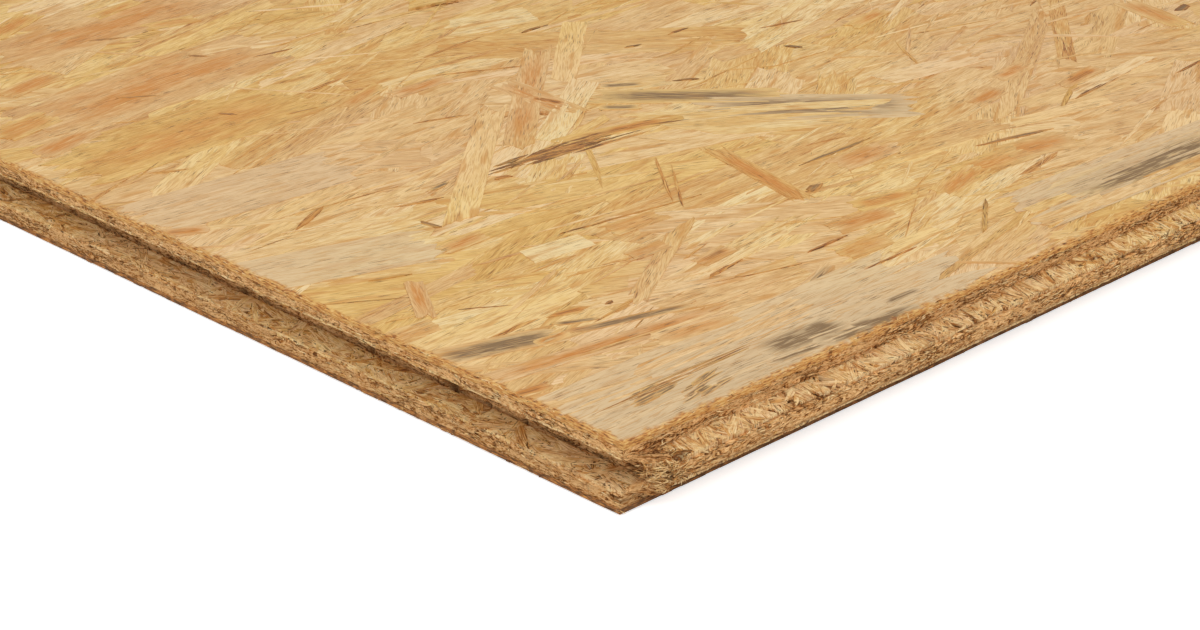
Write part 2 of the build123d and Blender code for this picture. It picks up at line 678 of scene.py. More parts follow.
    def fray(self, graph: Graph, colour: Feed) -> Socket:
        """Crumbled brown fibre where the saw went through, with painted shade beside a tongue where that is
        asked for.

        Args:
            graph: the material's tree.
            colour: the strand's colour away from the saw.

        Returns:
            The colour with its frayed rim.
        """
        x_low, x_high, y_low, y_high = self.sawn
        x_middle, y_middle = (x_low + x_high) / 2, (y_low + y_high) / 2
        place = graph.place()
        x, y, _ = graph.split(place)
        off_x = graph.math("ABSOLUTE", graph.math("SUBTRACT", x, x_middle))
        off_y = graph.math("ABSOLUTE", graph.math("SUBTRACT", y, y_middle))
        beside = graph.math("SUBTRACT", x_high - x_middle, off_x)
        before = graph.math("SUBTRACT", y_high - y_middle, off_y)
        uneven = graph.noise(place, (3.5, 3.5, 2.0), (6.0, 4.0, 2.0), 3.0, 0.6)
        inset = graph.math("ADD", graph.math("MINIMUM", beside, before), graph.scaled(uneven, -6.0, 2.1))
        endways = graph.math("LESS_THAN", beside, before)
        crumb = graph.blend(
            endways,
            graph.noise(place, (2.4, 0.45, 0.35), (3.0, 1.0, 8.0), 2.0, 0.65),
            graph.noise(place, (0.45, 2.4, 0.35), (9.0, 2.0, 4.0), 2.0, 0.65),
        )
        shade = graph.ramp(crumb, self.crumbs)
        # Painted shade on the rim beside a tongue
        if self.tongue_shade:
            long_tongue = graph.math("LESS_THAN", y, y_middle)
            short_tongue = graph.math("GREATER_THAN", x, x_middle)
            tongue = graph.blend(endways, long_tongue, short_tongue)
            shade = graph.mix(tongue, shade, graph.ramp(crumb, self.tongue_shade))
        return graph.mix(graph.step(inset, -0.4, 1.4, 0.95, 0.0), colour, shade)


# Crumb colours for the underside's sawn rim: painted shade beside the tongues, and darker crumbs all round as
# painted shade along the bottom arris
TONGUE_SHADE_CRUMBS = ((0.34, Wood.RUSSET), (0.48, Wood.BARK), (0.62, Wood.PITH))
SHADED_CRUMBS = ((0.3, Wood.AMBER), (0.42, Wood.RUSSET), (0.54, Wood.BARK), (0.66, Wood.PITH))


@dataclass(frozen=True)
class EdgeFinish(Finish):
    """The milled board: raw fibre, pores and seams, with painted shade in its pits, low on its lower lips and
    under its tongues.
    """

    name: str = "milled_edge"
    specular: float = 0.05
    bump: float = 0.0005

    def feeds(self, graph: Graph) -> Feeds:
        """The milled wood's colour, roughness and bump.

        Args:
            graph: the material's tree.

        Returns:
            What feeds the shader's inputs.
        """
        # The painted shade that the board keeps on its points
        hollow = graph.add("ShaderNodeAttribute", attribute_name="hollow").outputs["Fac"]
        milled = MilledWood().place(graph, {"Place": graph.place(), "Hollow": hollow})
        normal = graph.bump(0.7, self.bump, milled["Height"])
        return {"Base Color": milled["Color"], "Roughness": milled["Roughness"], "Normal": normal}


@dataclass(frozen=True)
class FloorFinish(Finish):
    """The pale studio floor, white to the camera but for the panel's shadow."""

    name: str = "studio_floor"
    specular: float = 0.0
    tone: float = 0.9
    lift: float = 0.62

    def feeds(self, graph: Graph) -> Feeds:
        """A plain pale floor that the camera sees a little lighter than it is."""
        seen = graph.add("ShaderNodeLightPath").outputs["Is Camera Ray"]
        return {
            "Base Color": (self.tone, self.tone, self.tone, 1.0),
            "Roughness": 0.9,
            "Emission Color": WHITE,
            "Emission Strength": graph.math("MULTIPLY", seen, self.lift),
        }


@dataclass(frozen=True)
class EdgeProfile:
    """The milled tongue and groove, in millimetres: how far each edge stands at a height."""

    thickness: float = 18.0
    upper_lip: float = 4.8
    lower_lip: float = 5.2
    groove_depth: float = 8.5
    mouth_chamfer: float = 0.4
    tongue_length: float = 7.0
    flank_clearance: float = 0.35
    nose_radius: float = 1.2
    lower_setback: float = 1.0
    flank_angle: float = 6.0

    def lean(self) -> float:
        """How much a flank rises for each millimetre that it runs in."""
        return math.tan(math.radians(self.flank_angle))

    def groove_inset(self, height: Array) -> Array:
        """How far a groove edge stands in from its lips.

        Args:
            height: heights above the underside.

        Returns:
            The inset at each height, nothing on the lips and the groove's depth on its floor.
        """
        insets = [np.full_like(height, self.groove_depth)]
        for climb in (height - self.lower_lip, self.thickness - self.upper_lip - height):
            chamfer = np.clip(climb + self.mouth_chamfer, 0.0, self.mouth_chamfer)
            insets.append(np.maximum(chamfer, climb / self.lean()))
        return np.min(insets, axis=0)

    def tongue_reach(self, height: Array) -> Array:
        """How far a tongue edge stands out past the line of its upper shoulder.

        Args:
            height: heights above the underside.

        Returns:
            The reach at each height, nothing on the upper shoulder and negative on the lower one.
        """
        low = height - self.lower_lip - self.flank_clearance
        high = self.thickness - self.upper_lip - self.flank_clearance - height
        climb = np.minimum(low, high)
        past_flank = np.clip(climb - self.tongue_length * self.lean(), 0.0, self.nose_radius)
        arc = np.sqrt(self.nose_radius**2 - (self.nose_radius - past_flank) ** 2)
        rounded = self.tongue_length - self.nose_radius + arc
        shoulder = np.where(height < self.thickness / 2, -self.lower_setback, 0.0)
        return np.maximum(np.minimum(climb / self.lean(), rounded), shoulder)

    def levels(self, count: int, low: float, high: float) -> Array:
        """Heights spread evenly along whichever profile runs further.

        Args:
            count: how many heights.
            low: the first height.
            high: the last height.

        Returns:
            The heights, from low to high.
        """
        fine = np.linspace(low, high, FINE_LEVELS)
        run = np.maximum(*(np.abs(np.diff(line(fine))) for line in (self.groove_inset, self.tongue_reach)))
        length = np.concatenate([[0.0], np.cumsum(np.hypot(np.diff(fine), run))])
        return np.interp(np.linspace(0.0, length[-1], count), length, fine)


@dataclass(frozen=True)
class PanelOutline:
    """The panel's rectangle at each height, in millimetres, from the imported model's box."""

    low: Pair
    high: Pair
    profile: EdgeProfile = EdgeProfile()

    def at(self, height: Array) -> tuple[Array, Array, Array, Array]:
        """The rectangle at each height.

        Args:
            height: heights above the underside.

        Returns:
            The lowest and highest X, then the lowest and highest Y.
        """
        inset = self.profile.groove_inset(height)
        short_of = self.profile.tongue_length - self.profile.tongue_reach(height)
        return self.low[0] + inset, self.high[0] - short_of, self.low[1] + short_of, self.high[1] - inset

    def sides(self, height: float) -> Sides:
        """The rectangle at one height."""
        return tuple(float(side[0]) for side in self.at(np.array([height])))


@dataclass
class MilledBoard:
    """The board with its tongues and grooves, as rings of points at many heights."""

    outline: PanelOutline
    mat_depth: float = 1.1
    under_depth: float = 0.4
    ring_count: int = 54
    fine_step: float = 0.75
    coarse_step: float = 9.0
    fine_reach: float = 330.0
    fade_reach: float = 60.0
    crisp_height: float = 3.0
    crisp_least: float = 0.2
    core_half: float = 4.0
    fibre_depth: float = 0.3
    layer_depth: float = 0.3
    pit_depth: float = 0.7
    pit_floor: float = 0.76
    pit_rise: float = 0.12
    flank_drop: float = 0.75
    torn_depth: float = 1.0
    torn_length: float = 10.0
    torn_ramp: float = 2.0
    torn_least: float = 0.35
    # Painted shade under the tongues: how strong, how it fades towards the near corner and how far above the
    # nose it reaches
    tongue_shade: float = 1.0
    tongue_shade_reach: float = 30.0
    tongue_shade_least: float = 0.1
    tongue_shade_above: float = 1.8
    tongue_shade_fade: float = 1.6
    lip_shade: float = 0.22
    finish: EdgeFinish = EdgeFinish()
    fibre: LatticeNoise = LatticeNoise(11, (5.0, 1.1, 0.8))
    fine: LatticeNoise = LatticeNoise(12, (1.9, 0.8, 0.5))
    layer: LatticeNoise = LatticeNoise(13, (30.0, 6.0, 0.8))
    pit: LatticeNoise = LatticeNoise(14, (3.0, 1.5, 0.9))
    bite: LatticeNoise = LatticeNoise(15, (1.5, 1.2, 1.0))

    def stations(self, length: float, near: bool) -> Array:
        """Where points stand along one side, closer together towards the panel's near corner.

        Args:
            length: the side's length.
            near: whether the near corner is at the side's start.

        Returns:
            Shares of the side, from 0 to just under 1.
        """
        places = [0.0]
        while places[-1] < length:
            past = (places[-1] - self.fine_reach) / self.fade_reach
            away = min(1.0, max(0.0, past)) if near else 1.0
            places.append(places[-1] + self.fine_step + (self.coarse_step - self.fine_step) * away)
        return np.array(places[:-1]) / places[-1]

    def rings(self) -> Array:
        """The board's outline at every level.

        Returns:
            Points by level, then by place round the board, then by axis.
        """
        profile = self.outline.profile
        heights = profile.levels(self.ring_count, self.under_depth, profile.thickness - self.mat_depth)
        x_low, x_high, y_low, y_high = self.outline.at(heights)
        long_side = x_high[0] - x_low[0]
        short_side = y_high[0] - y_low[0]
        shares = (
            self.stations(long_side, True),
            self.stations(short_side, False),
            self.stations(long_side, False),
            np.concatenate([[0.0], 1 - self.stations(short_side, True)[:0:-1]]),
        )
        round_board = ((x_low, y_low), (x_high, y_low), (x_high, y_high), (x_low, y_high))
        corners = [np.stack(corner, axis=1)[:, None, :] for corner in round_board]
        sides = [
            start + (end - start) * share[None, :, None]
            for start, end, share in zip(corners, corners[1:] + corners[:1], shares, strict=True)
        ]
        flat = np.concatenate(sides, axis=1)
        tall = np.broadcast_to(heights[:, None, None], flat.shape[:2] + (1,))
        return np.concatenate([flat, tall], axis=2)

    def relief(self, points: Array) -> tuple[Array, Array]:
        """How deep the cutter and the torn fibre leave the surface under its true line.

        Args:
            points: places on the true surface, one row each.

        Returns:
            The depth at each place, and its painted shade from 0 to 1: in the pits, low on the lower lip and
            under a tongue.
        """
        profile = self.outline.profile
        core = np.abs(points[:, 2] - profile.thickness / 2) < self.core_half
        along = np.where(core[:, None], points[:, [1, 0, 2]], points)
        fibre = (self.fibre.at(along) + self.fine.at(along)) / 2
        pit = np.clip((self.pit.at(along) - self.pit_floor) / self.pit_rise, 0.0, 1.0)
        depth = self.fibre_depth * fibre + self.layer_depth * self.layer.at(along) + self.pit_depth * pit
        crisp = np.clip(points[:, 2] / self.crisp_height, self.crisp_least, 1.0)
        # Painted shade: in the pits, low on the lower lips and under the tongues
        lip = np.clip(profile.lower_lip - points[:, 2], 0.0, 1.0)
        shaded = np.maximum(self.lip_shade * lip, self.tongue_shade * self.under_tongue(points))
        return crisp * depth + self.torn(points), np.maximum(crisp * pit, shaded)

    def under_tongue(self, points: Array) -> Array:
        """How far each place lies under a tongue, where the cutter ran hot.

        Args:
            points: places on the true surface, one row each.

        Returns:
            How far each place lies under a tongue, for the painted shade there.
        """
        profile = self.outline.profile
        reach = profile.tongue_length + profile.lower_setback + profile.mouth_chamfer
        nose = profile.lower_lip + profile.flank_clearance + profile.tongue_length * profile.lean()
        under = nose + self.tongue_shade_above * profile.nose_radius - points[:, 2]
        low = np.clip(under / profile.nose_radius / self.tongue_shade_fade, 0.0, 1.0)
        low *= np.clip((points[:, 0] - self.outline.low[0]) / self.tongue_shade_reach, self.tongue_shade_least, 1.0)
        long_edge = points[:, 1] < self.outline.low[1] + reach
        short_edge = points[:, 0] > self.outline.high[0] - reach
        return low * (long_edge | short_edge)

    def torn(self, points: Array) -> Array:
        """How far the long tongue's end is torn back, at the near corner.

        Args:
            points: places on the true surface, one row each.

        Returns:
            The extra depth at each place.
        """
        profile = self.outline.profile
        past_end = points[:, 0] - self.outline.low[0] - profile.groove_depth
        past_shoulder = self.outline.low[1] + profile.tongue_length - points[:, 1]
        share = np.clip(1 - past_end / self.torn_length, 0.0, 1.0)
        share *= np.clip(past_shoulder / self.torn_ramp, 0.0, 1.0)
        return self.torn_depth * share * (self.torn_least + self.bite.at(points))

    def build(self) -> Piece:
        """Make the board from its rings, press its relief in and dress it.

        Returns:
            The board.
        """
        rings = self.rings()
        levels, count, _ = rings.shape
        around = np.roll(rings, -1, axis=1) - np.roll(rings, 1, axis=1)
        outward = np.cross(around, np.gradient(rings, axis=0))
        outward[[0, -1], :, 2] = 0.0
        outward /= np.linalg.norm(outward, axis=2, keepdims=True) + 1e-12
        depth, hollow = self.relief(rings.reshape(-1, 3))
        depth = depth.reshape(levels, count, 1) + self.flank_drop * np.abs(outward[:, :, 2:])
        points = rings - outward * depth
        index = np.arange(levels * count).reshape(levels, count)
        after = np.roll(index, -1, axis=1)
        quads = np.stack([index[:-1], after[:-1], after[1:], index[1:]], axis=2).reshape(-1, 4)
        faces = quads.tolist() + [index[0, ::-1].tolist(), index[-1].tolist()]
        mesh = bpy.data.meshes.new("milled_board")
        mesh.from_pydata((points.reshape(-1, 3) * MM).tolist(), [], faces)
        # Keep the painted shade on the points, for the edge's finish
        mesh.attributes.new("hollow", "FLOAT", "POINT").data.foreach_set("value", hollow)
        mesh.materials.append(self.finish.material())
        mesh.update()
        return put(mesh)


def put(data: bpy.types.ID) -> Piece:
    """Show a mesh, a lamp or a camera as an object of the same name.

    Args:
        data: what the object shows.

    Returns:
        The object.
    """
    piece = bpy.data.objects.new(data.name, data)
    bpy.context.scene.collection.objects.link(piece)
    return piece


def points_of(mesh: Mesh) -> Array:
    """A mesh's points in millimetres, one row each.

    Args:
        mesh: the mesh.

    Returns:
        The points.
    """
    places = np.empty(len(mesh.vertices) * 3)
    mesh.vertices.foreach_get("co", places)
    return places.reshape(-1, 3) / MM


def move_points(mesh: Mesh, places: Array) -> None:
    """Put a mesh's points at new places, in millimetres."""
    mesh.vertices.foreach_set("co", (places * MM).ravel())
    mesh.update()


def store_vectors(mesh: Mesh, name: str, values: Array) -> None:
    """Keep a vector under a name for each of a mesh's points."""
    layer = mesh.attributes.new(name, "FLOAT_VECTOR", "POINT")
    layer.data.foreach_set("vector", np.ascontiguousarray(values, dtype=np.float32).ravel())


def merge(meshes: list[Mesh], change: Callable[[Strands], None] | None = None) -> Mesh:
    """Join meshes that carry the same attributes.

    Args:
        meshes: the meshes, of which the first is kept.
        change: what is done to the joined strands.

    Returns:
        The first mesh, with all the others in it.
    """
    work = bmesh.new()
    for mesh in meshes:
        work.from_mesh(mesh)
    if change:
        change(work)
    work.to_mesh(meshes[0])
    work.free()
    for mesh in meshes[1:]:
        bpy.data.meshes.remove(mesh)
    return meshes[0]


@dataclass(frozen=True)
class Plate:
    """The points and faces of one small closed piece of wood, in millimetres."""

    points: Array
    faces: list[tuple[int, ...]]

    def mesh(self, name: str, seed: float = 1.0) -> Mesh:
        """The plate as a mesh, with the place along and across its grain stored on its points.

        Args:
            name: the mesh's name.
            seed: moves the grain's pattern, where it is not one that a scatter moves.

        Returns:
            The mesh.
        """
        mesh = bpy.data.meshes.new(name)
        mesh.from_pydata((self.points * MM).tolist(), [], self.faces)
        seeds = np.full(len(self.points), seed)
        store_vectors(mesh, "grain", np.column_stack([self.points[:, :2] * MM, seeds]))
        return mesh


@dataclass(frozen=True)
class StrandShape:
    """One pressed strand as a thin closed plate, in millimetres, with its grain along +X."""

    length: float = STRAND_LENGTH
    width: float = STRAND_WIDTH
    skirt: float = 1.2
    along: int = 2
    across: int = 8
    warp: float = 0.03
    jitter: float = 0.25
    nick: float = 0.08

    def plate(self, cuts: tuple[EndCut, EndCut], dice: Dice) -> Plate:
        """The strand's points and faces.

        Args:
            cuts: how its two ends were parted.
            dice: the strand's own random numbers.

        Returns:
            A closed plate whose top lies about z = 0.
        """
        side = np.linspace(-0.5, 0.5, self.across + 1) * self.width
        side[1:-1] += dice.uniform(-self.jitter, self.jitter, self.across - 1) * self.width / self.across
        starts = -self.length / 2 + self.end_loss(cuts[0], dice)
        ends = self.length / 2 - self.end_loss(cuts[1], dice)
        share = np.linspace(0.0, 1.0, self.along + 1)[:, None]
        run = starts[None, :] + (ends - starts)[None, :] * share
        cross = np.broadcast_to(side[None, :], run.shape).copy()
        nick = dice.uniform(0.0, self.nick, (self.along + 1, 2)) * self.width
        cross[:, 0] += nick[:, 0]
        cross[:, -1] -= nick[:, 1]
        rise = dice.uniform(-self.warp, self.warp, run.shape)
        top = np.stack([run, cross, rise], axis=2).reshape(-1, 3)
        index = np.arange(run.size).reshape(run.shape).tolist()
        faces = [
            (index[i][k], index[i + 1][k], index[i + 1][k + 1], index[i][k + 1])
            for i in range(self.along)
            for k in range(self.across)
        ]
        first_side = [row[0] for row in index]
        last_side = [row[-1] for row in index[-2::-1]]
        loop = first_side + index[-1][1:] + last_side + index[0][-2:0:-1]
        low = top[loop]
        low[:, 2] = -self.skirt
        first = len(top)
        size = len(loop)
        for number in range(size):
            after = (number + 1) % size
            faces.append((loop[number], first + number, first + after, loop[after]))
        faces.append(tuple(first + number for number in reversed(range(size))))
        return Plate(np.concatenate([top, low]), faces)

    def end_loss(self, cut: EndCut, dice: Dice) -> Array:
        """How far one end falls short of the strand's full length, on each line across it.

        Args:
            cut: how the end was parted.
            dice: the strand's own random numbers.

        Returns:
            One length for each line.
        """
        lines = self.across + 1
        slope = np.linspace(0.0, 1.0, lines)
        if dice.random() < 0.5:
            slope = slope[::-1]
        loss = dice.uniform(0.0, 0.12, lines)
        if cut is EndCut.KNIFE:
            loss = slope * dice.uniform(0.02, 0.1) + dice.uniform(0.0, 0.02, lines)
        if cut is EndCut.FEATHER:
            loss = slope**1.6 * dice.uniform(0.14, 0.34) + dice.uniform(0.0, 0.07, lines)
        return loss * self.length


@dataclass(frozen=True)
class SplinterShape:
    """A thin sliver, pointed at both ends, in millimetres, with its grain along +X."""

    length: float = STRAND_LENGTH
    width: float = STRAND_WIDTH
    skirt: float = 0.5

    def plate(self, dice: Dice) -> Plate:
        """A closed six-cornered plate.

        Args:
            dice: the sliver's own random numbers.

        Returns:
            The sliver's points and faces.
        """
        tips = dice.uniform(-0.4, 0.4, 2) * self.width
        shoulders = dice.uniform(0.1, 0.45, 4) * self.length
        half = self.length / 2
        side = self.width / 2
        ring = np.array([
            (-half, tips[0]), (-half + shoulders[0], -side), (half - shoulders[1], -side),
            (half, tips[1]), (half - shoulders[2], side), (-half + shoulders[3], side),
        ])
        size = len(ring)
        levels = [np.column_stack([ring, np.full(size, level)]) for level in (0.0, -self.skirt)]
        faces = [tuple(range(size)), tuple(range(2 * size - 1, size - 1, -1))]
        for number in range(size):
            after = (number + 1) % size
            faces.append((after, number, size + number, size + after))
        return Plate(np.concatenate(levels), faces)


@dataclass(frozen=True)
class FibreShape:
    """A torn fibre as a thin spindle, in millimetres, with its grain along +X."""

    length: float = STRAND_LENGTH
    width: float = STRAND_WIDTH
    thickness: float = 0.3

    def plate(self, dice: Dice) -> Plate:
        """A closed spindle.

        Args:
            dice: the fibre's own random numbers.

        Returns:
            The fibre's points and faces.
        """
        bend = dice.uniform(-0.5, 0.5, 2) * self.width
        waist = dice.uniform(-0.2, 0.2) * self.length
        points = np.array([
            (-self.length / 2, bend[0], 0.0), (self.length / 2, bend[1], 0.0),
            (waist, -self.width / 2, 0.0), (waist, 0.0, self.thickness / 2),
            (waist, self.width / 2, 0.0), (waist, 0.0, -self.thickness / 2),
        ])
        belt = (2, 5, 4, 3)
        faces = []
        for corner, after in zip(belt, belt[1:] + belt[:1], strict=True):
            faces += [(0, after, corner), (1, corner, after)]
        return Plate(points, faces)


@dataclass(frozen=True)
class StrandPattern:
    """The shapes that a scatter repeats, each a little different."""

    kind: Pattern

    def collection(self) -> bpy.types.Collection:
        """Keep the shapes in a collection of their own, outside the scene.

        Returns:
            The collection, made when it is first asked for.
        """
        name = f"{self.kind.value}_pattern"
        found = bpy.data.collections.get(name)
        if found:
            return found
        group = bpy.data.collections.new(name)
        for number in range(SHAPE_COUNT):
            title = f"{name}_{number:02d}"
            group.objects.link(bpy.data.objects.new(title, self.shape(number).mesh(title)))
        return group

    def shape(self, number: int) -> Plate:
        """One of the shapes.

        Args:
            number: which one.

        Returns:
            Its points and faces.
        """
        dice = np.random.default_rng(PATTERN_SEED + number)
        ends = list(EndCut)
        cuts = (ends[number % len(ends)], ends[(number // len(ends)) % len(ends)])
        if self.kind is Pattern.SPLINTER:
            return SplinterShape().plate(dice)
        if self.kind is Pattern.FIBRE:
            return FibreShape().plate(dice)
        across = 3 if self.kind is Pattern.UNDERLAY else StrandShape().across
        return StrandShape(along=1, across=across).plate(cuts, dice)


class StrandScatter(NodeGroup):
    """The Geometry Nodes tree that lays strands through a box."""

    name = "strand_scatter"
    kind = "GeometryNodeTree"
    takes = {
        "Geometry": "Geometry", "Lowest": "Vector", "Highest": "Vector", "Count": "Int", "Seed": "Int",
        "Heading": "Float", "Spread": "Float", "Crossing Share": "Float", "Tilt": "Float",
        "Shortest": "Float", "Longest": "Float", "Narrowest": "Float", "Widest": "Float",
        "Palest": "Float", "Darkest": "Float", "Stained Share": "Float",
        "Strands": "Collection", "Finish": "Material",
    }
    gives = {"Geometry": "Geometry"}
    seed_step = 31.0
    narrowness = 1.7
    widest_turn = 1.3

    def wire(self, graph: Graph, given: Outputs) -> Feeds:
        """Points through the box, a strand on each, and each strand's own numbers kept on its points.

        Args:
            graph: the tree.
            given: its inputs.

        Returns:
            The strands.
        """
        draw = partial(self.random, graph, given["Seed"])
        place = draw(1, given["Lowest"], given["Highest"], Draw.FLOAT_VECTOR)
        points = graph.add("GeometryNodePoints", {"Count": given["Count"], "Position": place})
        feeds = {"Collection": given["Strands"], "Separate Children": True, "Reset Children": True}
        stock = graph.add("GeometryNodeCollectionInfo", feeds)
        length = draw(3, given["Shortest"], given["Longest"])
        narrow = graph.math("POWER", draw(4, 0.0, 1.0), self.narrowness)
        width = graph.blend(narrow, given["Narrowest"], given["Widest"])
        laid = graph.add("GeometryNodeInstanceOnPoints", {
            "Points": points.outputs[0],
            "Instance": stock.outputs[0],
            "Pick Instance": True,
            "Instance Index": draw(2, 0, SHAPE_COUNT - 1, Draw.INT),
            "Rotation": self.turn(graph, given, draw),
            "Scale": graph.join(length, width, 1.0),
        })
        stretch = graph.join(length, width, draw(5, 0.0, SEED_REACH))
        marked = self.store(graph, laid.outputs[0], "stretch", stretch, "INSTANCE")
        marked = self.store(graph, marked, "dye", self.dye(graph, given, draw), "INSTANCE")
        real = graph.add("GeometryNodeRealizeInstances", {"Geometry": marked}).outputs[0]
        kept = [
            graph.add("GeometryNodeInputNamedAttribute", {"Name": name}, **VECTORS).outputs[0]
            for name in ("grain", "stretch")
        ]
        grained = self.store(graph, real, "grain", graph.vector("MULTIPLY", *kept), "POINT")
        dressed = graph.add("GeometryNodeSetMaterial", {"Geometry": grained, "Material": given["Finish"]})
        return {"Geometry": dressed.outputs[0]}

    def random(self, graph: Graph, seed: Socket, number: int, low: Feed, high: Feed,
               kind: Draw = Draw.FLOAT) -> Socket:
        """A random value for each strand.

        Args:
            graph: the tree.
            seed: the scatter's own seed.
            number: tells this draw from the others.
            low: the lowest value.
            high: the highest value.
            kind: what sort of value.

        Returns:
            The value's socket.
        """
        own = graph.scaled(seed, self.seed_step, float(number))
        feeds = {kind.value: low, kind.value + 1: high, "Seed": own}
        return graph.add("FunctionNodeRandomValue", feeds, data_type=kind.name).outputs[kind.value // 2]

    def turn(self, graph: Graph, given: Outputs, draw: Callable[..., Socket]) -> Socket:
        """How each strand lies: near the heading, a few right across it, all a little tilted.

        Args:
            graph: the tree.
            given: its inputs.
            draw: makes a random value.

        Returns:
            The strand's rotation.
        """
        scatter = graph.math("ADD", draw(6, -0.5, 0.5), draw(7, -0.5, 0.5))
        usual = graph.math("MULTIPLY", scatter, given["Spread"])
        crossing = graph.math("LESS_THAN", draw(9, 0.0, 1.0), given["Crossing Share"])
        end_for_end = graph.math("MULTIPLY", graph.math("ROUND", draw(10, 0.0, 1.0)), math.pi)
        off_line = graph.blend(crossing, usual, draw(8, -self.widest_turn, self.widest_turn))
        heading = graph.fold("ADD", off_line, given["Heading"], end_for_end)
        roll = graph.math("MULTIPLY", draw(11, -4.0, 4.0), given["Tilt"])
        pitch = graph.math("MULTIPLY", draw(12, -1.0, 1.0), given["Tilt"])
        return graph.add("FunctionNodeEulerToRotation", {0: graph.join(roll, pitch, heading)}).outputs[0]

    def dye(self, graph: Graph, given: Outputs, draw: Callable[..., Socket]) -> Socket:
        """Each strand's tone, stain and figure.

        Args:
            graph: the tree.
            given: its inputs.
            draw: makes a random value.

        Returns:
            The three as a vector.
        """
        middling = graph.math("ADD", draw(13, 0.0, 0.5), draw(14, 0.0, 0.5))
        tone = graph.blend(middling, given["Palest"], given["Darkest"])
        stained = graph.math("LESS_THAN", draw(15, 0.0, 1.0), given["Stained Share"])
        return graph.join(tone, graph.math("MULTIPLY", stained, draw(17, 0.3, 0.9)), draw(16, 0.1, 1.0))

    def store(self, graph: Graph, geometry: Feed, name: str, value: Feed, domain: str) -> Socket:
        """The geometry with a vector kept on it under a name."""
        feeds = {"Geometry": geometry, "Name": name, "Value": value}
        return graph.add("GeometryNodeStoreNamedAttribute", feeds, domain=domain, **VECTORS).outputs[0]

    def lay(self, name: str, values: dict[str, object]) -> Mesh:
        """Run the tree once.

        Args:
            name: the mesh's name.
            values: the tree's inputs by name.

        Returns:
            The strands as one plain mesh.
        """
        tree = self.tree()
        carrier = put(bpy.data.meshes.new(name))
        modifier = carrier.modifiers.new("scatter", "NODES")
        modifier.node_group = tree
        sockets = {item.name: item.identifier for item in tree.interface.items_tree if item.in_out == "INPUT"}
        for key, value in values.items():
            modifier[sockets[key]] = value
        depsgraph = bpy.context.evaluated_depsgraph_get()
        ready = carrier.evaluated_get(depsgraph)
        mesh = bpy.data.meshes.new_from_object(ready, preserve_all_data_layers=True, depsgraph=depsgraph)
        spare = carrier.data
        bpy.data.objects.remove(carrier)
        bpy.data.meshes.remove(spare)
        mesh.name = name
        return mesh


@dataclass(frozen=True)
class StrandLayer:
    """One kind of wood in a mat, with its sizes as shares of the pattern's own and depths in millimetres."""

    kind: Pattern
    count: int
    depths: Pair
    lengths: Pair
    widths: Pair
    tones: Pair
    spread: float = 0.6
    crossing: float = 0.08
    stained: float = 0.0
    tilt: float = 0.0012

    def sunk(self, level: float) -> Pair:
        """The lowest and highest height that it lies at under a level."""
        return level - self.depths[1], level - self.depths[0]

    def lay(self, name: str, seed: int, box: tuple[Pair, Pair, Pair], heading: float, finish: Finish) -> Mesh:
        """Scatter the layer through a box.

        Args:
            name: the mesh's name.
            seed: tells this scatter from the others.
            box: the lowest and highest place along each axis, in millimetres.
            heading: the direction that most strands follow, in radians from +X.
            finish: how they look.

        Returns:
            The layer as one plain mesh.
        """
        values = {
            "Count": self.count, "Seed": seed, "Heading": heading, "Spread": self.spread,
            "Crossing Share": self.crossing, "Tilt": self.tilt, "Stained Share": self.stained,
            "Strands": StrandPattern(self.kind).collection(), "Finish": finish.material(),
        }
        values["Lowest"], values["Highest"] = (np.array(box) * MM).T.tolist()
        values["Shortest"], values["Longest"] = self.lengths
        values["Narrowest"], values["Widest"] = self.widths
        values["Palest"], values["Darkest"] = self.tones
        return StrandScatter().lay(name, values)


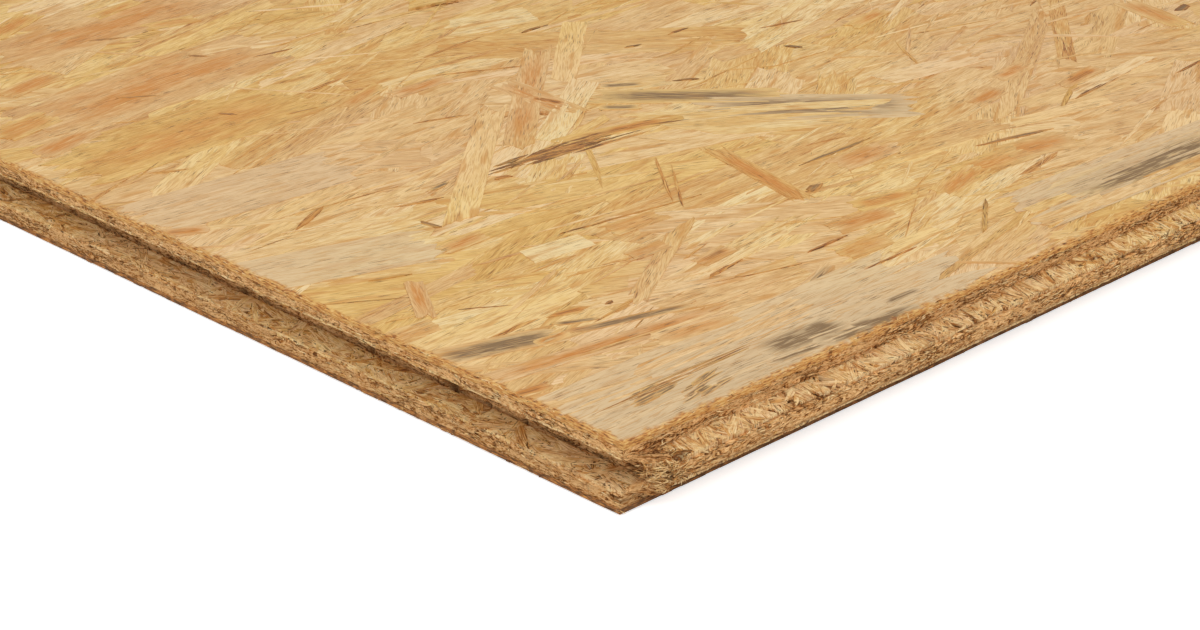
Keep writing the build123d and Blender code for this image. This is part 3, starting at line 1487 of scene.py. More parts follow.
@dataclass(frozen=True)
class Saw:
    """Cuts a mesh of strands off at a rectangle, in millimetres, and leaves the cuts ragged."""

    sides: Sides
    ragged: float = 0.35
    chip: float = 0.5
    fine_bite: float = 1.3
    coarse_bite: float = 6.0
    fine_reach: float = 340.0
    wear: float = 0.0
    wear_drop: float = 0.5
    wear_curve: float = 1.5
    chip_floor: float = 0.7
    chip_rise: float = 0.15
    fray: LatticeNoise = LatticeNoise(21, (1.7, 1.7, 0.4))
    split: LatticeNoise = LatticeNoise(22, (5.0, 5.0, 0.7))
    uneven: LatticeNoise = LatticeNoise(23, (7.0, 7.0, 7.0))

    def trim(self, work: Strands) -> None:
        """Cut along the rectangle's four sides, and wear the new arris down.

        Args:
            work: the strands.
        """
        for number, side in enumerate(self.sides):
            sign = 1.0 if number % 2 else -1.0
            outward = Vector((sign, 0.0, 0.0) if number < 2 else (0.0, sign, 0.0))
            point = outward * sign * side
            if self.wear:
                self.bisect(work, (point - outward * self.wear) * MM, outward, False)
            self.cut(work, point * MM, outward)
        if self.wear:
            self.round_off(work)

    def bisect(self, work: Strands, point: Vector, outward: Vector, clear: bool) -> list[Edge]:
        """Divide the strands along one plane.

        Args:
            work: the strands.
            point: a point of the plane, in metres.
            outward: the plane's normal.
            clear: whether what lies outside falls off.

        Returns:
            The edges on the plane.
        """
        result = bmesh.ops.bisect_plane(
            work, geom=work.verts[:] + work.edges[:] + work.faces[:], dist=CUT_GAP,
            plane_co=point, plane_no=outward, clear_outer=clear,
        )
        return [item for item in result["geom_cut"] if isinstance(item, Edge)]

    def cut(self, work: Strands, point: Vector, outward: Vector) -> None:
        """Cut along one plane, close what was cut open and bite into the rim.

        Args:
            work: the strands.
            point: a point of the plane, in metres.
            outward: the side that falls off.
        """
        rim = self.bisect(work, point, outward, True)
        bmesh.ops.holes_fill(work, edges=[edge for edge in rim if edge.is_boundary], sides=0)
        sorted_rim: dict[int, list[Edge]] = {}
        for edge in rim:
            bites = self.bites(edge)
            if bites:
                sorted_rim.setdefault(bites, []).append(edge)
        for bites, edges in sorted_rim.items():
            bmesh.ops.subdivide_edges(work, edges=edges, cuts=bites)
        spots = [vertex for vertex in work.verts if abs((vertex.co - point).dot(outward)) < ON_PLANE]
        places = np.array([vertex.co for vertex in spots]).reshape(-1, 3) / MM
        chip = np.clip((self.split.at(places) - self.chip_floor) / self.chip_rise, 0.0, 1.0)
        loss = self.ragged * self.fray.at(places) + self.chip * chip
        for vertex, amount in zip(spots, loss.tolist(), strict=True):
            vertex.co -= outward * amount * MM

    def round_off(self, work: Strands) -> None:
        """Wear the sawn arris down, by an uneven amount along it.

        Args:
            work: the strands.
        """
        x_low, x_high, y_low, y_high = self.sides
        places = np.array([vertex.co for vertex in work.verts]).reshape(-1, 3) / MM
        x, y, _ = places.T
        inset = np.min([x - x_low, x_high - x, y - y_low, y_high - y], axis=0)
        gone = np.clip(1 - inset / self.wear, 0.0, 1.0)
        places[:, 2] = 0.0
        drop = self.wear_drop * gone**self.wear_curve * (0.45 + 0.55 * self.uneven.at(places))
        for vertex, amount in zip(work.verts, drop.tolist(), strict=True):
            vertex.co.z -= amount * MM

    def bites(self, edge: Edge) -> int:
        """Into how many bites a rim's edge is cut, finely near the near corner.

        Args:
            edge: one edge of the rim.

        Returns:
            The number of cuts, a power of two or none.
        """
        middle = (edge.verts[0].co + edge.verts[1].co) / 2 / MM
        away = max(middle.x - self.sides[0], middle.y - self.sides[2])
        wanted = edge.calc_length() / MM / (self.fine_bite if away < self.fine_reach else self.coarse_bite)
        return 2 ** int(math.log2(wanted)) if wanted >= 1 else 0


# How far the saw's arris is worn on the upper face, in millimetres
UPPER_WEAR = 1.4


@dataclass
class StrandMat:
    """One broad face: pressed strands laid in lanes and sawn off at the board's edges."""

    outline: PanelOutline
    face: Face
    layers: tuple[StrandLayer, ...]
    lanes: int = 4
    margin: float = 40.0
    under_seed: int = 50

    def build(self) -> list[Piece]:
        """Lay every lane, saw it off, and turn it over where it is on the underside.

        Returns:
            One piece for each lane.
        """
        under = self.face is Face.UNDER
        top = self.outline.profile.thickness
        sides = self.outline.sides(0.0 if under else top)
        saw = Saw(sides, ragged=0.1, chip=0.12) if under else Saw(sides, wear=UPPER_WEAR)
        finish = StrandFinish(f"{self.face.value}_face", sawn=sides)
        # The underside's rim takes darker crumbs, painted shade along the bottom arris and beside the tongues
        if under:
            finish = replace(finish, crumbs=SHADED_CRUMBS, tongue_shade=TONGUE_SHADE_CRUMBS)
        along = (sides[0] - self.margin, sides[1] + self.margin)
        edges = np.linspace(sides[2] - self.margin, sides[3] + self.margin, self.lanes + 1)
        pieces = []
        for number in range(self.lanes):
            name = f"{self.face.value}_strands_{number + 1}"
            meshes = []
            for rank, layer in enumerate(self.layers):
                box = (along, (edges[number], edges[number + 1]), layer.sunk(top))
                seed = 1 + number + 10 * rank + self.under_seed * under
                meshes.append(layer.lay(name, seed, box, 0.0, finish))
            mesh = merge(meshes, saw.trim)
            mesh.name = name
            if under:
                move_points(mesh, points_of(mesh) * (1.0, 1.0, -1.0) + (0.0, 0.0, top))
                mesh.flip_normals()
            pieces.append(put(mesh))
        return pieces


@dataclass(frozen=True)
class EdgeRun:
    """One of the panel's four milled edges, with its sizes in millimetres."""

    outline: PanelOutline
    axis: int
    outward: int
    groove: bool
    groove_slack: float = 0.6
    tongue_slack: float = 0.2

    def line(self) -> float:
        """Where its lips or its upper shoulder stand along its axis."""
        side = (self.outline.high if self.outward > 0 else self.outline.low)[self.axis]
        return side if self.groove else side - self.outward * self.outline.profile.tongue_length

    def ordered(self, along: object, out: object, tall: object) -> tuple[object, object, object]:
        """What is said along the edge, out of it and up, in the order X, Y, Z."""
        return (along, out, tall) if self.axis == 1 else (out, along, tall)

    def span(self) -> Pair:
        """Where its flanks begin and end along the edge.

        Returns:
            Both places, the lower one first.
        """
        profile = self.outline.profile
        groove = profile.groove_depth + self.groove_slack
        tongue = profile.tongue_length + profile.lower_setback + self.tongue_slack
        start, end = (groove, tongue) if self.axis == 1 else (tongue, groove)
        return self.outline.low[1 - self.axis] + start, self.outline.high[1 - self.axis] - end

    def depths(self) -> Pair:
        """How far along its axis a flank's strands begin and end, from the lip or the shoulder.

        Returns:
            Both distances, the nearer one first.
        """
        profile = self.outline.profile
        if self.groove:
            return profile.mouth_chamfer + self.tongue_slack, profile.groove_depth - profile.mouth_chamfer
        return -profile.nose_radius / 2, profile.tongue_length - profile.nose_radius

    def flank(self, away: Array, rising: bool) -> Array:
        """A flank's height.

        Args:
            away: how far from the lip or the shoulder.
            rising: whether it is the flank that faces upwards.

        Returns:
            The height at each place.
        """
        profile = self.outline.profile
        climb = away * profile.lean() + (0.0 if self.groove else profile.flank_clearance)
        if rising == self.groove:
            return profile.lower_lip + climb
        return profile.thickness - profile.upper_lip - climb

    def walls(self) -> list[Triple]:
        """Its upright faces.

        Returns:
            How far each stands out from its line, and its lowest and highest height.
        """
        profile = self.outline.profile
        top = profile.thickness
        upper = (0.0, top - profile.upper_lip, top)
        if self.groove:
            return [upper, (0.0, 0.0, profile.lower_lip)]
        slack = profile.flank_clearance + profile.nose_radius
        nose = (profile.tongue_length, profile.lower_lip + 2 * slack, top - profile.upper_lip - slack)
        return [upper, nose]


@dataclass
class MilledEdges:
    """What the cutters left on the four edges: core strands on the flanks, and torn fibre."""

    outline: PanelOutline
    marks: list[Mesh]
    finish: StrandFinish = StrandFinish(
        "flank_face", specular=0.08, bump=0.00025, porous=0.9, fineness=1.15, streaky=2.3, patchy=0.5,
        ringed=0.4, blush=0.3, gilt=0.2, lined=0.8, lining=Wood.RUSSET,
    )
    parallel: StrandLayer = StrandLayer(
        Pattern.UNDERLAY, 420, (0.12, 0.45), (0.12, 0.5), (0.06, 0.36), (-0.28, 0.62),
        spread=0.7, crossing=0.1, tilt=0.008,
    )
    across: StrandLayer = StrandLayer(
        Pattern.UNDERLAY, 850, (0.12, 0.4), (0.12, 0.65), (0.12, 0.75), (-0.25, 0.35),
        spread=2.6, crossing=0.15, tilt=0.006,
    )
    chips: StrandLayer = StrandLayer(
        Pattern.SPLINTER, 700, (0.02, 0.2), (0.04, 0.24), (0.03, 0.16), (-0.2, 0.85),
        spread=0.9, crossing=0.2, tilt=0.01,
    )
    fibre: StrandLayer = StrandLayer(
        Pattern.FIBRE, 1, (0.12, 0.6), (0.01, 0.05), (0.006, 0.022), (-0.1, 1.0),
        spread=0.5, crossing=0.1, tilt=0.15,
    )
    shag: StrandLayer = StrandLayer(
        Pattern.FIBRE, 420, (0.0, 0.0), (0.02, 0.06), (0.008, 0.03), (-0.1, 0.95),
        spread=3.0, crossing=0.1, tilt=0.5,
    )
    shag_reach: Pair = (4.0, 6.0)
    across_reach: float = 30.0
    parallel_reach: float = 4.0
    chip_reach: float = 2.0
    fibres_per_mm: float = 0.25
    near_fibres_per_mm: float = 2.6
    near_reach: float = 330.0
    inside: float = 0.02

    def build(self) -> list[Piece]:
        """Lay the flanks' strands and the torn fibre, as two pieces.

        Returns:
            The two pieces.
        """
        runs = [
            EdgeRun(self.outline, 0, -1, True), EdgeRun(self.outline, 0, 1, False),
            EdgeRun(self.outline, 1, -1, False), EdgeRun(self.outline, 1, 1, True),
        ]
        flanks = []
        fibres = []
        for number, run in enumerate(runs):
            for rising in (True, False):
                flanks.append(self.flank(run, rising, FLANK_SEED + 2 * number + rising))
            fibres.extend(self.torn(run, FIBRE_SEED + 10 * number))
        fibres.append(self.torn_end(SHAG_SEED))
        flanks.extend(self.marks)
        return [self.joined("flank_strands", flanks), self.joined("torn_fibre", fibres)]

    def joined(self, name: str, meshes: list[Mesh]) -> Piece:
        """Several meshes as one piece, kept inside the panel's box.

        Args:
            name: the piece's name.
            meshes: the meshes, which carry the same attributes.

        Returns:
            The piece.
        """
        mesh = merge(meshes)
        low = np.array([*self.outline.low, 0.0]) + self.inside
        high = np.array([*self.outline.high, self.outline.profile.thickness]) - self.inside
        move_points(mesh, np.clip(points_of(mesh), low, high))
        # One finish for every face, whatever slots the meshes came with
        mesh.materials.clear()
        mesh.materials.append(self.finish.material())
        mesh.polygons.foreach_set("material_index", np.zeros(len(mesh.polygons), dtype=np.int32))
        mesh.name = name
        return put(mesh)

    def flank(self, run: EdgeRun, rising: bool, seed: int) -> Mesh:
        """Core strands on one flank, cut off by the cutter.

        Args:
            run: the edge.
            rising: whether it is the flank that faces upwards.
            seed: tells this flank from the others.

        Returns:
            The strands in their place.
        """
        start, end = run.span()
        near, far = run.depths()
        crosswise = run.axis == 1
        layer = self.across if crosswise else self.parallel
        reach = self.across_reach if crosswise else self.parallel_reach
        heading = math.pi / 2 if crosswise else 0.0
        box = ((start, end), (near - reach, far + reach), layer.sunk(0.0))
        meshes = [layer.lay("flank", seed, box, heading, self.finish)]
        if run.outward < 0:
            reach = self.chip_reach
            box = ((start, start + self.near_reach), (near - reach, far + reach), self.chips.sunk(0.0))
            meshes.append(self.chips.lay("chips", seed + 20, box, heading, self.finish))
        mesh = merge(meshes, Saw((start, end, near, far), ragged=0.3, chip=0.4, fine_bite=1.5).trim)
        along, away, lift = points_of(mesh).T
        toward = -run.outward if run.groove else run.outward
        up = 1.0 if rising else -1.0
        height = run.flank(away, rising) + up * lift
        move_points(mesh, np.column_stack(run.ordered(along, run.line() + toward * away, height)))
        if toward * up * (1 if crosswise else -1) < 0:
            mesh.flip_normals()
        return mesh

    def torn_end(self, seed: int) -> Mesh:
        """Loose fibre on the long tongue's end, where the short edge's cutter broke out of it.

        Args:
            seed: tells this fibre from the rest.

        Returns:
            The fibre.
        """
        profile = self.outline.profile
        end = self.outline.low[0] + profile.groove_depth
        side = self.outline.low[1]
        slack = profile.flank_clearance + profile.nose_radius
        box = (
            (end - self.shag_reach[0], end + self.shag_reach[1]),
            (side, side + profile.tongue_length),
            (profile.lower_lip + slack, profile.thickness - profile.upper_lip - slack / 2),
        )
        return self.shag.lay("shag", seed, box, 0.0, self.finish)

    def torn(self, run: EdgeRun, seed: int) -> list[Mesh]:
        """Torn fibre on one edge's upright faces, thickest near the near corner.

        Args:
            run: the edge.
            seed: tells this edge from the others.

        Returns:
            The fibre, a mesh for each face and density.
        """
        start, end = run.span()
        stretches = [(start, end, self.fibres_per_mm)]
        if run.outward < 0:
            stretches.append((start, start + self.near_reach, self.near_fibres_per_mm))
        heading = 0.0 if run.axis == 1 else math.pi / 2
        meshes = []
        for number, (out, bottom, top) in enumerate(run.walls()):
            face = sorted(run.line() + run.outward * (out - depth) for depth in self.fibre.depths)
            for rank, (first, last, density) in enumerate(stretches):
                box = run.ordered((first, last), face, (bottom, top))
                layer = replace(self.fibre, count=int((last - first) * density))
                meshes.append(layer.lay("fibre", seed + 2 * number + rank, box, heading, self.finish))
        return meshes


@dataclass(frozen=True)
class PhotoCamera:
    """The camera of the portrait, fitted to the panel's near corner."""

    outline: PanelOutline
    lens: float = 90.0
    sensor: float = 36.0
    frame_size: tuple[int, int] = (1200, 630)
    pitch: float = 24.5
    heading: float = 45.3
    corner_pixel: Pair = (620.0, 516.0)
    depth: float = 0.653

    def axes(self) -> tuple[Vector, Vector, Vector]:
        """Which way the camera looks.

        Returns:
            Its right, up and forward directions.
        """
        pitch = math.radians(self.pitch)
        heading = math.radians(self.heading)
        level = math.cos(pitch)
        right = Vector((math.sin(heading), -math.cos(heading), 0.0))
        forward = Vector((level * math.cos(heading), level * math.sin(heading), -math.sin(pitch)))
        return right, right.cross(forward), forward

    def through(self, pixel: Pair) -> Vector:
        """The direction seen at a pixel.

        Args:
            pixel: a place in the portrait.

        Returns:
            The direction, whose part along the camera's axis is 1.
        """
        right, up, forward = self.axes()
        focal = self.lens / self.sensor * self.frame_size[0]
        across, down = ((spot - size / 2) / focal for spot, size in zip(pixel, self.frame_size, strict=True))
        return forward + right * across - up * down

    def place(self) -> Vector:
        """Where the camera stands."""
        x_low, _, y_low, _ = self.outline.sides(0.0)
        return Vector((x_low, y_low, 0.0)) * MM - self.through(self.corner_pixel) * self.depth

    def on_face(self, pixel: Pair, height: float) -> Vector:
        """The point of a level plane that a pixel shows.

        Args:
            pixel: a place in the portrait.
            height: the plane's height in metres.

        Returns:
            The point.
        """
        eye = self.place()
        ray = self.through(pixel)
        return eye + ray * ((height - eye.z) / ray.z)

    def build(self) -> None:
        """Make the camera and look through it."""
        data = bpy.data.cameras.new("portrait_camera")
        data.lens = self.lens
        data.sensor_width = self.sensor
        data.clip_start = 0.01
        camera = put(data)
        camera.location = self.place()
        camera.rotation_euler = self.axes()[2].to_track_quat("-Z", "Y").to_euler()
        bpy.context.scene.camera = camera


@dataclass(frozen=True)
class PlacedStrand:
    """One strand that the portrait shows in its own place, by pixels at its two ends."""

    start: Pair
    end: Pair
    width: float
    tone: float
    stain: float = 0.0
    figure: float = 0.1
    shreds: int = 1


@dataclass
class PlacedStrands:
    """The strands that can be told apart in the portrait, laid on top of the upper mat."""

    outline: PanelOutline
    camera: PhotoCamera
    strands: list[PlacedStrand]
    height: float
    name: str = "placed_strands"
    shallow: float = 0.04
    step: float = 0.0009
    shred_step: float = 0.00071
    sliver_width: float = 3.2
    line_counts: tuple[int, int] = (3, 14)
    pixels_per_mm: float = 3.6

    def build(self) -> Piece:
        """Lay the strands as one piece, those named first lowest, and saw them off at the board's edges.

        Returns:
            The piece.
        """
        sides = self.outline.sides(self.height)
        mesh = merge(self.meshes(), Saw(sides, wear=UPPER_WEAR).trim)
        mesh.name = self.name
        mesh.materials.append(StrandFinish("upper_face", sawn=sides).material())
        return put(mesh)

    def meshes(self) -> list[Mesh]:
        """Every strand in its place, and every sliver of those that have come apart.

        Returns:
            A mesh for each.
        """
        meshes = []
        for number, strand in enumerate(self.strands):
            dice = np.random.default_rng(PLACED_SEED + number)
            depth = self.shallow + self.step * (len(self.strands) - number)
            for rank, part in enumerate(self.shreds(strand, dice)):
                meshes.append(self.lay(part, depth + self.shred_step * rank, dice))
        return meshes

    def shreds(self, strand: PlacedStrand, dice: Dice) -> list[PlacedStrand]:
        """The slivers that a torn strand has come apart into, or the strand itself where it is whole.

        Args:
            strand: the strand as a whole.
            dice: its own random numbers.

        Returns:
            The slivers, each in its own place in the strand.
        """
        if strand.shreds == 1:
            return [strand]
        start = np.array(strand.start, dtype=float)
        run = np.array(strand.end, dtype=float) - start
        aside = np.array([-run[1], run[0]]) / np.hypot(*run) * strand.width * self.pixels_per_mm
        parts = []
        for _ in range(strand.shreds):
            share = dice.uniform(0.25, 0.6)
            first = start + run * dice.uniform(0.0, 1.0 - share) + aside * dice.uniform(-0.4, 0.4)
            last = first + run * share + aside * dice.uniform(-0.12, 0.12)
            width = strand.width * dice.uniform(0.08, 0.32)
            tone = strand.tone + dice.uniform(-0.2, 0.06)
            parts.append(PlacedStrand(tuple(first), tuple(last), width, tone, strand.stain, strand.figure))
        return parts

    def lay(self, strand: PlacedStrand, depth: float, dice: Dice) -> Mesh:
        """One strand in its place.

        Args:
            strand: what the portrait shows.
            depth: how far under its level it lies, in millimetres.
            dice: its own random numbers.

        Returns:
            The strand's mesh.
        """
        level = self.height * MM
        start, end = (self.camera.on_face(pixel, level) / MM for pixel in (strand.start, strand.end))
        span = end - start
        if strand.width < self.sliver_width:
            plate = SplinterShape(span.length, strand.width).plate(dice)
        else:
            cuts = tuple(list(EndCut)[pick] for pick in dice.integers(0, len(EndCut), 2))
            if strand.stain or strand.figure < 0:
                cuts = (EndCut.TORN, EndCut.TORN)
            fewest, most = self.line_counts
            lines = min(most, max(fewest, int(strand.width)))
            plate = StrandShape(span.length, strand.width, across=lines).plate(cuts, dice)
        seed = float(dice.uniform(0.0, SEED_REACH))
        mesh = plate.mesh(self.name, seed)
        heading = math.atan2(span.y, span.x)
        middle = (start + end) / 2
        x, y, z = plate.points.T
        move_points(mesh, np.column_stack([
            middle.x + x * math.cos(heading) - y * math.sin(heading),
            middle.y + x * math.sin(heading) + y * math.cos(heading),
            self.height - depth + z,
        ]))
        stretch = (span.length / STRAND_LENGTH, strand.width / STRAND_WIDTH, seed)
        dye = (strand.tone, strand.stain, strand.figure)
        for name, value in (("stretch", stretch), ("dye", dye)):
            store_vectors(mesh, name, np.tile(value, (len(plate.points), 1)))
        return mesh


@dataclass(frozen=True)
class SoftLight:
    """One large soft lamp."""

    name: str
    place: Triple
    size: float
    power: float

    def build(self, target: Vector) -> None:
        """Make the lamp and turn it to what it lights.

        Args:
            target: the point that it looks at.
        """
        data = bpy.data.lights.new(self.name, "AREA")
        data.shape = "DISK"
        data.size = self.size
        data.energy = self.power
        lamp = put(data)
        lamp.location = target + Vector(self.place)
        lamp.rotation_euler = (target - lamp.location).to_track_quat("-Z", "Y").to_euler()


@dataclass
class Studio:
    """The pale floor, the white surround and the soft lamps."""

    floor_size: float = 40.0
    floor_gap: float = 0.0004
    surround: float = 0.48
    floor: FloorFinish = FloorFinish()
    lamps: tuple[SoftLight, ...] = (
        SoftLight("overhead", (-1.1, -0.7, 2.1), 2.4, 21.7),
        SoftLight("front_left", (-2.0, 0.2, 1.5), 1.4, 13.0),
        SoftLight("front_right", (0.9, -1.7, 1.5), 1.6, 17.6),
    )

    def build(self, target: Vector) -> None:
        """Make the floor, the surround and the lamps.

        Args:
            target: the point that the lamps look at.
        """
        mesh = bpy.data.meshes.new("studio_floor")
        half = self.floor_size / 2
        corners = [(-half, -half), (half, -half), (half, half), (-half, half)]
        mesh.from_pydata([(x, y, -self.floor_gap) for x, y in corners], [], [(0, 1, 2, 3)])
        mesh.materials.append(self.floor.material())
        floor = put(mesh)
        floor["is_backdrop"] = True
        self.surround_light()
        for lamp in self.lamps:
            lamp.build(target)

    def surround_light(self) -> None:
        """Light the scene evenly from all round, and show white where the camera looks past the floor."""
        world = bpy.data.worlds.new("studio")
        bpy.context.scene.world = world
        world.use_nodes = True
        graph = Graph(world.node_tree)
        path = graph.add("ShaderNodeLightPath").outputs
        rays = (path["Is Camera Ray"], path["Is Glossy Ray"], path["Is Transmission Ray"])
        strength = graph.blend(graph.fold("MAXIMUM", *rays), self.surround, 1.0)
        graph.feed(world.node_tree.nodes["Background"], {"Color": WHITE, "Strength": strength})


# Strands: pixels at both ends, width in millimetres and tone, then stain, figure and shreds
PORTRAIT_ROWS = (
    (20, 130, 280, 40, 34, 0.5, -0.9), (-20, 66, 230, -14, 30, 0.5, -0.9),
    (60, 178, 310, 92, 28, 0.5, -0.8), (130, 222, 350, 160, 26, 0.42, 0, -0.5),
    (600, 34, 690, 0, 18, 0.4), (620, 128, 912, 106, 22, 0.3),
    (690, 108, 930, 104, 21, 0.4, 0.8, -0.8), (580, 96, 790, 94, 12, 0.45, 0.8, -0.3),
    (880, 152, 1000, 116, 16, 0.5), (620, 382, 810, 298, 14, 0.32, 0, 1.0),
    (540, 428, 930, 258, 26, 0.2, 0.1, -0.7), (490, 482, 1000, 264, 30, 0.15, 0.12, -1.0),
    (545, 414, 660, 376, 8, 0.44), (1010, 218, 1280, 112, 26, 0.3, 0.2, -0.75),
    (1060, 197, 1240, 130, 18, 0.25, 1.0, -0.6), (880, 80, 980, 54, 10, 0.1),
    (525, 258, 588, 238, 9, 0.02), (200, 53, 304, 37, 6, 0.1),
    (1008, 124, 1112, 98, 6, 0.08), (885, 252, 938, 227, 5, 0.04),
    (210, 286, 440, 240, 22, 0.3, 0, -0.7), (538, 44, 517, 150, 9, 0.5, -0.8),
    (494, 103, 458, 227, 8.5, 0.12, 0, 0.5), (575, 20, 562, 84, 8, 0.14, 0, 0.4),
    (586, 78, 547, 142, 9, 0.1, 0, 0.4), (500, 82, 578, 114, 10, 0.45, -1.0),
    (526, 96, 570, 104, 4.5, 0.5, -1.8), (482, 172, 656, 121, 4.5, 0.94, 0.2, 0.8, 18),
    (484, 172, 532, 157, 3, 1.02, 0.3, 0.5, 12), (512, 164, 580, 143, 4, 1.0, 0.2, 0.5, 14),
    (550, 143, 684, 115, 6, 0.55, -1.5), (640, 125, 690, 119, 1, 0.9),
    (597, 86, 645, 83, 4, 0.4, 0.9), (598, 107, 642, 106, 4, 0.4, 0.9),
    (708, 145, 808, 201, 7, 0.6, -1.0), (836, 166, 900, 142, 10, 0.45, -0.9),
    (1002, 154, 1076, 136, 13, 0.45, -0.9), (958, 173, 1028, 149, 12, 0.45, -0.9),
    (942, 195, 982, 164, 10, 0.45, -0.9), (852, 207, 914, 191, 8, 0.45, -1.0),
    (828, 230, 896, 209, 9, 0.45, -1.0), (838, 255, 890, 235, 9, 0.45, -0.8),
    (1046, 4, 1000, 129, 6.5, 0.48, 0, 1.0), (688, 214, 634, 304, 5.5, 0.5, 0, 1.0),
    (0, 97, 58, 73, 9, 0.5, -1.0), (36, 156, 94, 129, 9, 0.5, -1.0),
    (-10, 38, 34, 13, 9, 0.5, -1.0), (-4, 138, 54, 114, 12, 0.5, -0.8),
    (92, 18, 138, 0, 6, 0.5, -0.9), (112, 78, 192, 50, 8, 0.5, -0.7),
    (142, 28, 200, 17, 7, 0.5, -0.8), (156, 234, 210, 227, 6, 0.5, -1.3),
    (390, 96, 450, 76, 6, 0.5, -1.0), (342, 108, 384, 83, 6, 0.5, -0.8),
    (1120, 0, 1186, 26, 9, 0.5, -0.9), (425, 361, 570, 330, 10, 0.45, 1.0),
    (566, 333, 700, 302, 3.4, 0.55, 1.0), (552, 324, 604, 317, 2, 0.6, 1.0),
    (470, 385, 736, 304, 7, 0.5, -1.1), (560, 362, 700, 318, 2, 0.6, -1.5),
    (652, 342, 734, 313, 8, 0.4, -0.7), (496, 401, 554, 383, 4, 0.6, -1.6),
    (380, 343, 438, 322, 8, 0.5, -0.6), (412, 278, 427, 318, 5, 0.5, -0.9),
    (536, 345, 570, 330, 5, 0.5, -1.3), (546, 317, 590, 306, 3, 0.6, -1.6),
    (628, 257, 669, 242, 6, 0.5, -1.1), (606, 232, 664, 212, 8, 0.5, -0.8),
    (440, 251, 486, 233, 6, 0.5, -1.0), (994, 79, 1030, 62, 7, 0.5, -1.0),
    (972, 104, 1001, 88, 7, 0.5, -1.0), (756, 354, 850, 317, 12, 0.2, 1.0, -1.0),
    (808, 347, 934, 301, 9, 0.2, 1.0, -1.0), (766, 364, 836, 338, 3.4, 0.4, 1.0, -1.0),
    (882, 304, 922, 287, 3.4, 0.4, 1.0, -1.0), (680, 400, 730, 366, 7, 0.6, 1.0, 0.1, 14),
    (624, 404, 680, 377, 6, 0.6, 1.0, 0.1, 12), (588, 415, 792, 327, 2.6, 0.8, 0.5, 0.1, 12),
    (986, 198, 984, 232, 1.3, 0.85, 0.3), (697, 277, 791, 227, 4, 0.0),
    (708, 277, 742, 258, 1.2, 0.93), (696, 264, 732, 246, 6, 0.55, -1.5),
    (1062, 99, 1152, 54, 5, 0.0), (1074, 98, 1107, 82, 1.2, 0.93),
    (1060, 86, 1100, 66, 6, 0.55, -1.5), (798, 165, 874, 137, 1.5, 0.85, 0.9),
    (975, 145, 1054, 128, 1.6, 0.8, 0.9), (810, 191, 819, 182, 3, 1.0, 0.6),
    (1178, 11, 1187, 4, 3, 1.0, 0.6), (84, 41, 127, 37, 1.3, 0.9, 0.5),
    (116, 98, 160, 95, 1.3, 0.9, 0.5), (187, 55, 208, 56, 1.1, 0.9, 0.5),
    (218, 113, 238, 114, 1.1, 0.9, 0.5), (253, 57, 293, 48, 0.8, 0.9, 0.5),
    (286, 114, 318, 107, 0.8, 0.9, 0.5), (149, 173, 189, 169, 1.3, 0.86),
    (296, 230, 323, 205, 2, 0.86), (394, 207, 444, 197, 1.2, 0.9),
    (419, 221, 440, 227, 1.6, 0.95, 0.6), (428, 191, 450, 181, 2, 0.6, 0.9),
    (667, 34, 687, 27, 1.4, 0.92), (760, 28, 802, 19, 1, 0.92),
    (784, 45, 802, 47, 1.5, 1.0, 0.5), (672, 80, 699, 78, 1.2, 0.95, 0.5),
    (521, 32, 547, 24, 1.2, 0.9), (624, 47, 642, 44, 1, 0.92),
    (655, 157, 673, 202, 0.7, 0.78), (671, 164, 683, 206, 0.7, 0.78),
    (560, 233, 702, 194, 0.7, 0.74), (808, 252, 847, 234, 1, 0.88),
    (864, 269, 917, 246, 0.7, 0.88), (1176, 73, 1203, 59, 1, 0.88),
    (368, 280, 412, 273, 1, 0.8, 0.8), (606, 304, 613, 300, 1.3, 1.05),
    (494, 178, 512, 175, 1.6, 0.86), (850, 27, 885, 9, 6, 0.5, -1.0),
    (1024, 212, 1072, 194, 4, 0.3), (1036, 224, 1108, 196, 6, 0.42),
    (1092, 205, 1176, 170, 5, 0.3), (1150, 180, 1232, 147, 6, 0.48),
    (1206, 156, 1292, 122, 5, 0.35),
)

# Dark marks on the long tongue's upper flank, painted shade where the flank has voids, in the same order of
# values, and their height in millimetres
FLANK_ROWS = (
    (663, 453, 677, 451, 1.0, 1.08), (671, 456, 687, 451, 2.4, 1.1),
    (674, 458, 682, 454, 1.8, 1.1), (681, 453, 691, 449, 1.6, 1.08),
    (1088, 259, 1100, 254, 2.4, 1.05), (1077, 268, 1087, 262, 1.6, 0.78),
)
FLANK_MARK_HEIGHT = 12.62

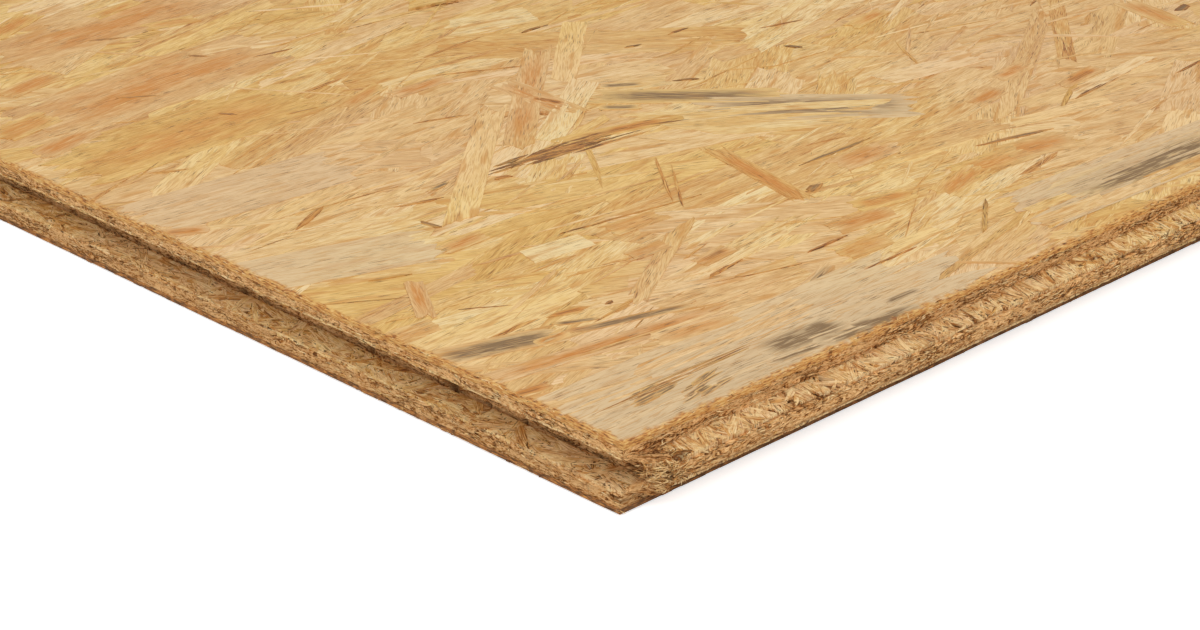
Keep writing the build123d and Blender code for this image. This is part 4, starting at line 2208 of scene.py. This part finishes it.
MAT_LAYERS = {
    Face.UPPER: (
        StrandLayer(Pattern.UNDERLAY, 450, (0.3, 0.36), (1.0, 1.5), (1.2, 2.6), (0.2, 0.55), tilt=0.0006),
        StrandLayer(
            Pattern.BROAD, 640, (0.19, 0.29), (0.3, 1.1), (0.12, 1.4), (-0.08, 0.68),
            spread=0.85, crossing=0.05, stained=0.012, tilt=0.0006,
        ),
        StrandLayer(
            Pattern.SPLINTER, 2000, (0.15, 0.2), (0.04, 0.4), (0.015, 0.1), (-0.12, 0.9),
            spread=1.0, crossing=0.05, tilt=0.0006,
        ),
    ),
    Face.UNDER: (
        StrandLayer(Pattern.UNDERLAY, 400, (0.22, 0.28), (1.0, 1.5), (1.2, 2.6), (0.2, 0.55), tilt=0.0003),
        StrandLayer(
            Pattern.BROAD, 280, (0.12, 0.2), (0.5, 1.35), (0.2, 1.9), (0.1, 0.64),
            spread=0.75, crossing=0.04, stained=0.05, tilt=0.0003,
        ),
        StrandLayer(
            Pattern.SPLINTER, 500, (0.04, 0.1), (0.08, 0.5), (0.03, 0.16), (0.0, 0.8),
            spread=0.8, crossing=0.04, tilt=0.0003,
        ),
    ),
}


def placed(rows: tuple[tuple[float, ...], ...]) -> list[PlacedStrand]:
    """The strands that rows of plain values tell of."""
    return [PlacedStrand(row[:2], row[2:4], *row[4:]) for row in rows]


def settle(piece: Piece) -> None:
    """Let a finished piece ride on the panel, and report it.

    Args:
        piece: the finished piece.
    """
    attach(piece, BODY)
    piece.data.calc_loop_triangles()
    LOG.info("%s: %d triangles", piece.name, len(piece.data.loop_triangles))


def main() -> None:
    """Build the panel, the studio and the camera."""
    logging.basicConfig(level=logging.INFO, format="%(name)s %(message)s")
    bpy.context.scene.view_settings.view_transform = "Standard"
    low, high = (np.array(corner) / MM for corner in cad_box)
    outline = PanelOutline((low[0], low[1]), (high[0], high[1]))
    board = MilledBoard(outline).build()
    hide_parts(NODE)
    settle(board)
    for face, layers in MAT_LAYERS.items():
        for lane in StrandMat(outline, face, layers).build():
            settle(lane)
    camera = PhotoCamera(outline)
    marks = PlacedStrands(outline, camera, placed(FLANK_ROWS), FLANK_MARK_HEIGHT)
    for piece in MilledEdges(outline, marks.meshes()).build():
        settle(piece)
    settle(PlacedStrands(outline, camera, placed(PORTRAIT_ROWS), high[2]).build())
    camera.build()
    Studio().build(camera.on_face(AIM_PIXEL, high[2] * MM))
    boxes = {"cad": cad_box, "visual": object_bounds()}
    {name: [list(corner) for corner in box] for name, box in boxes.items()}


if __name__ == "__main__":
    main()
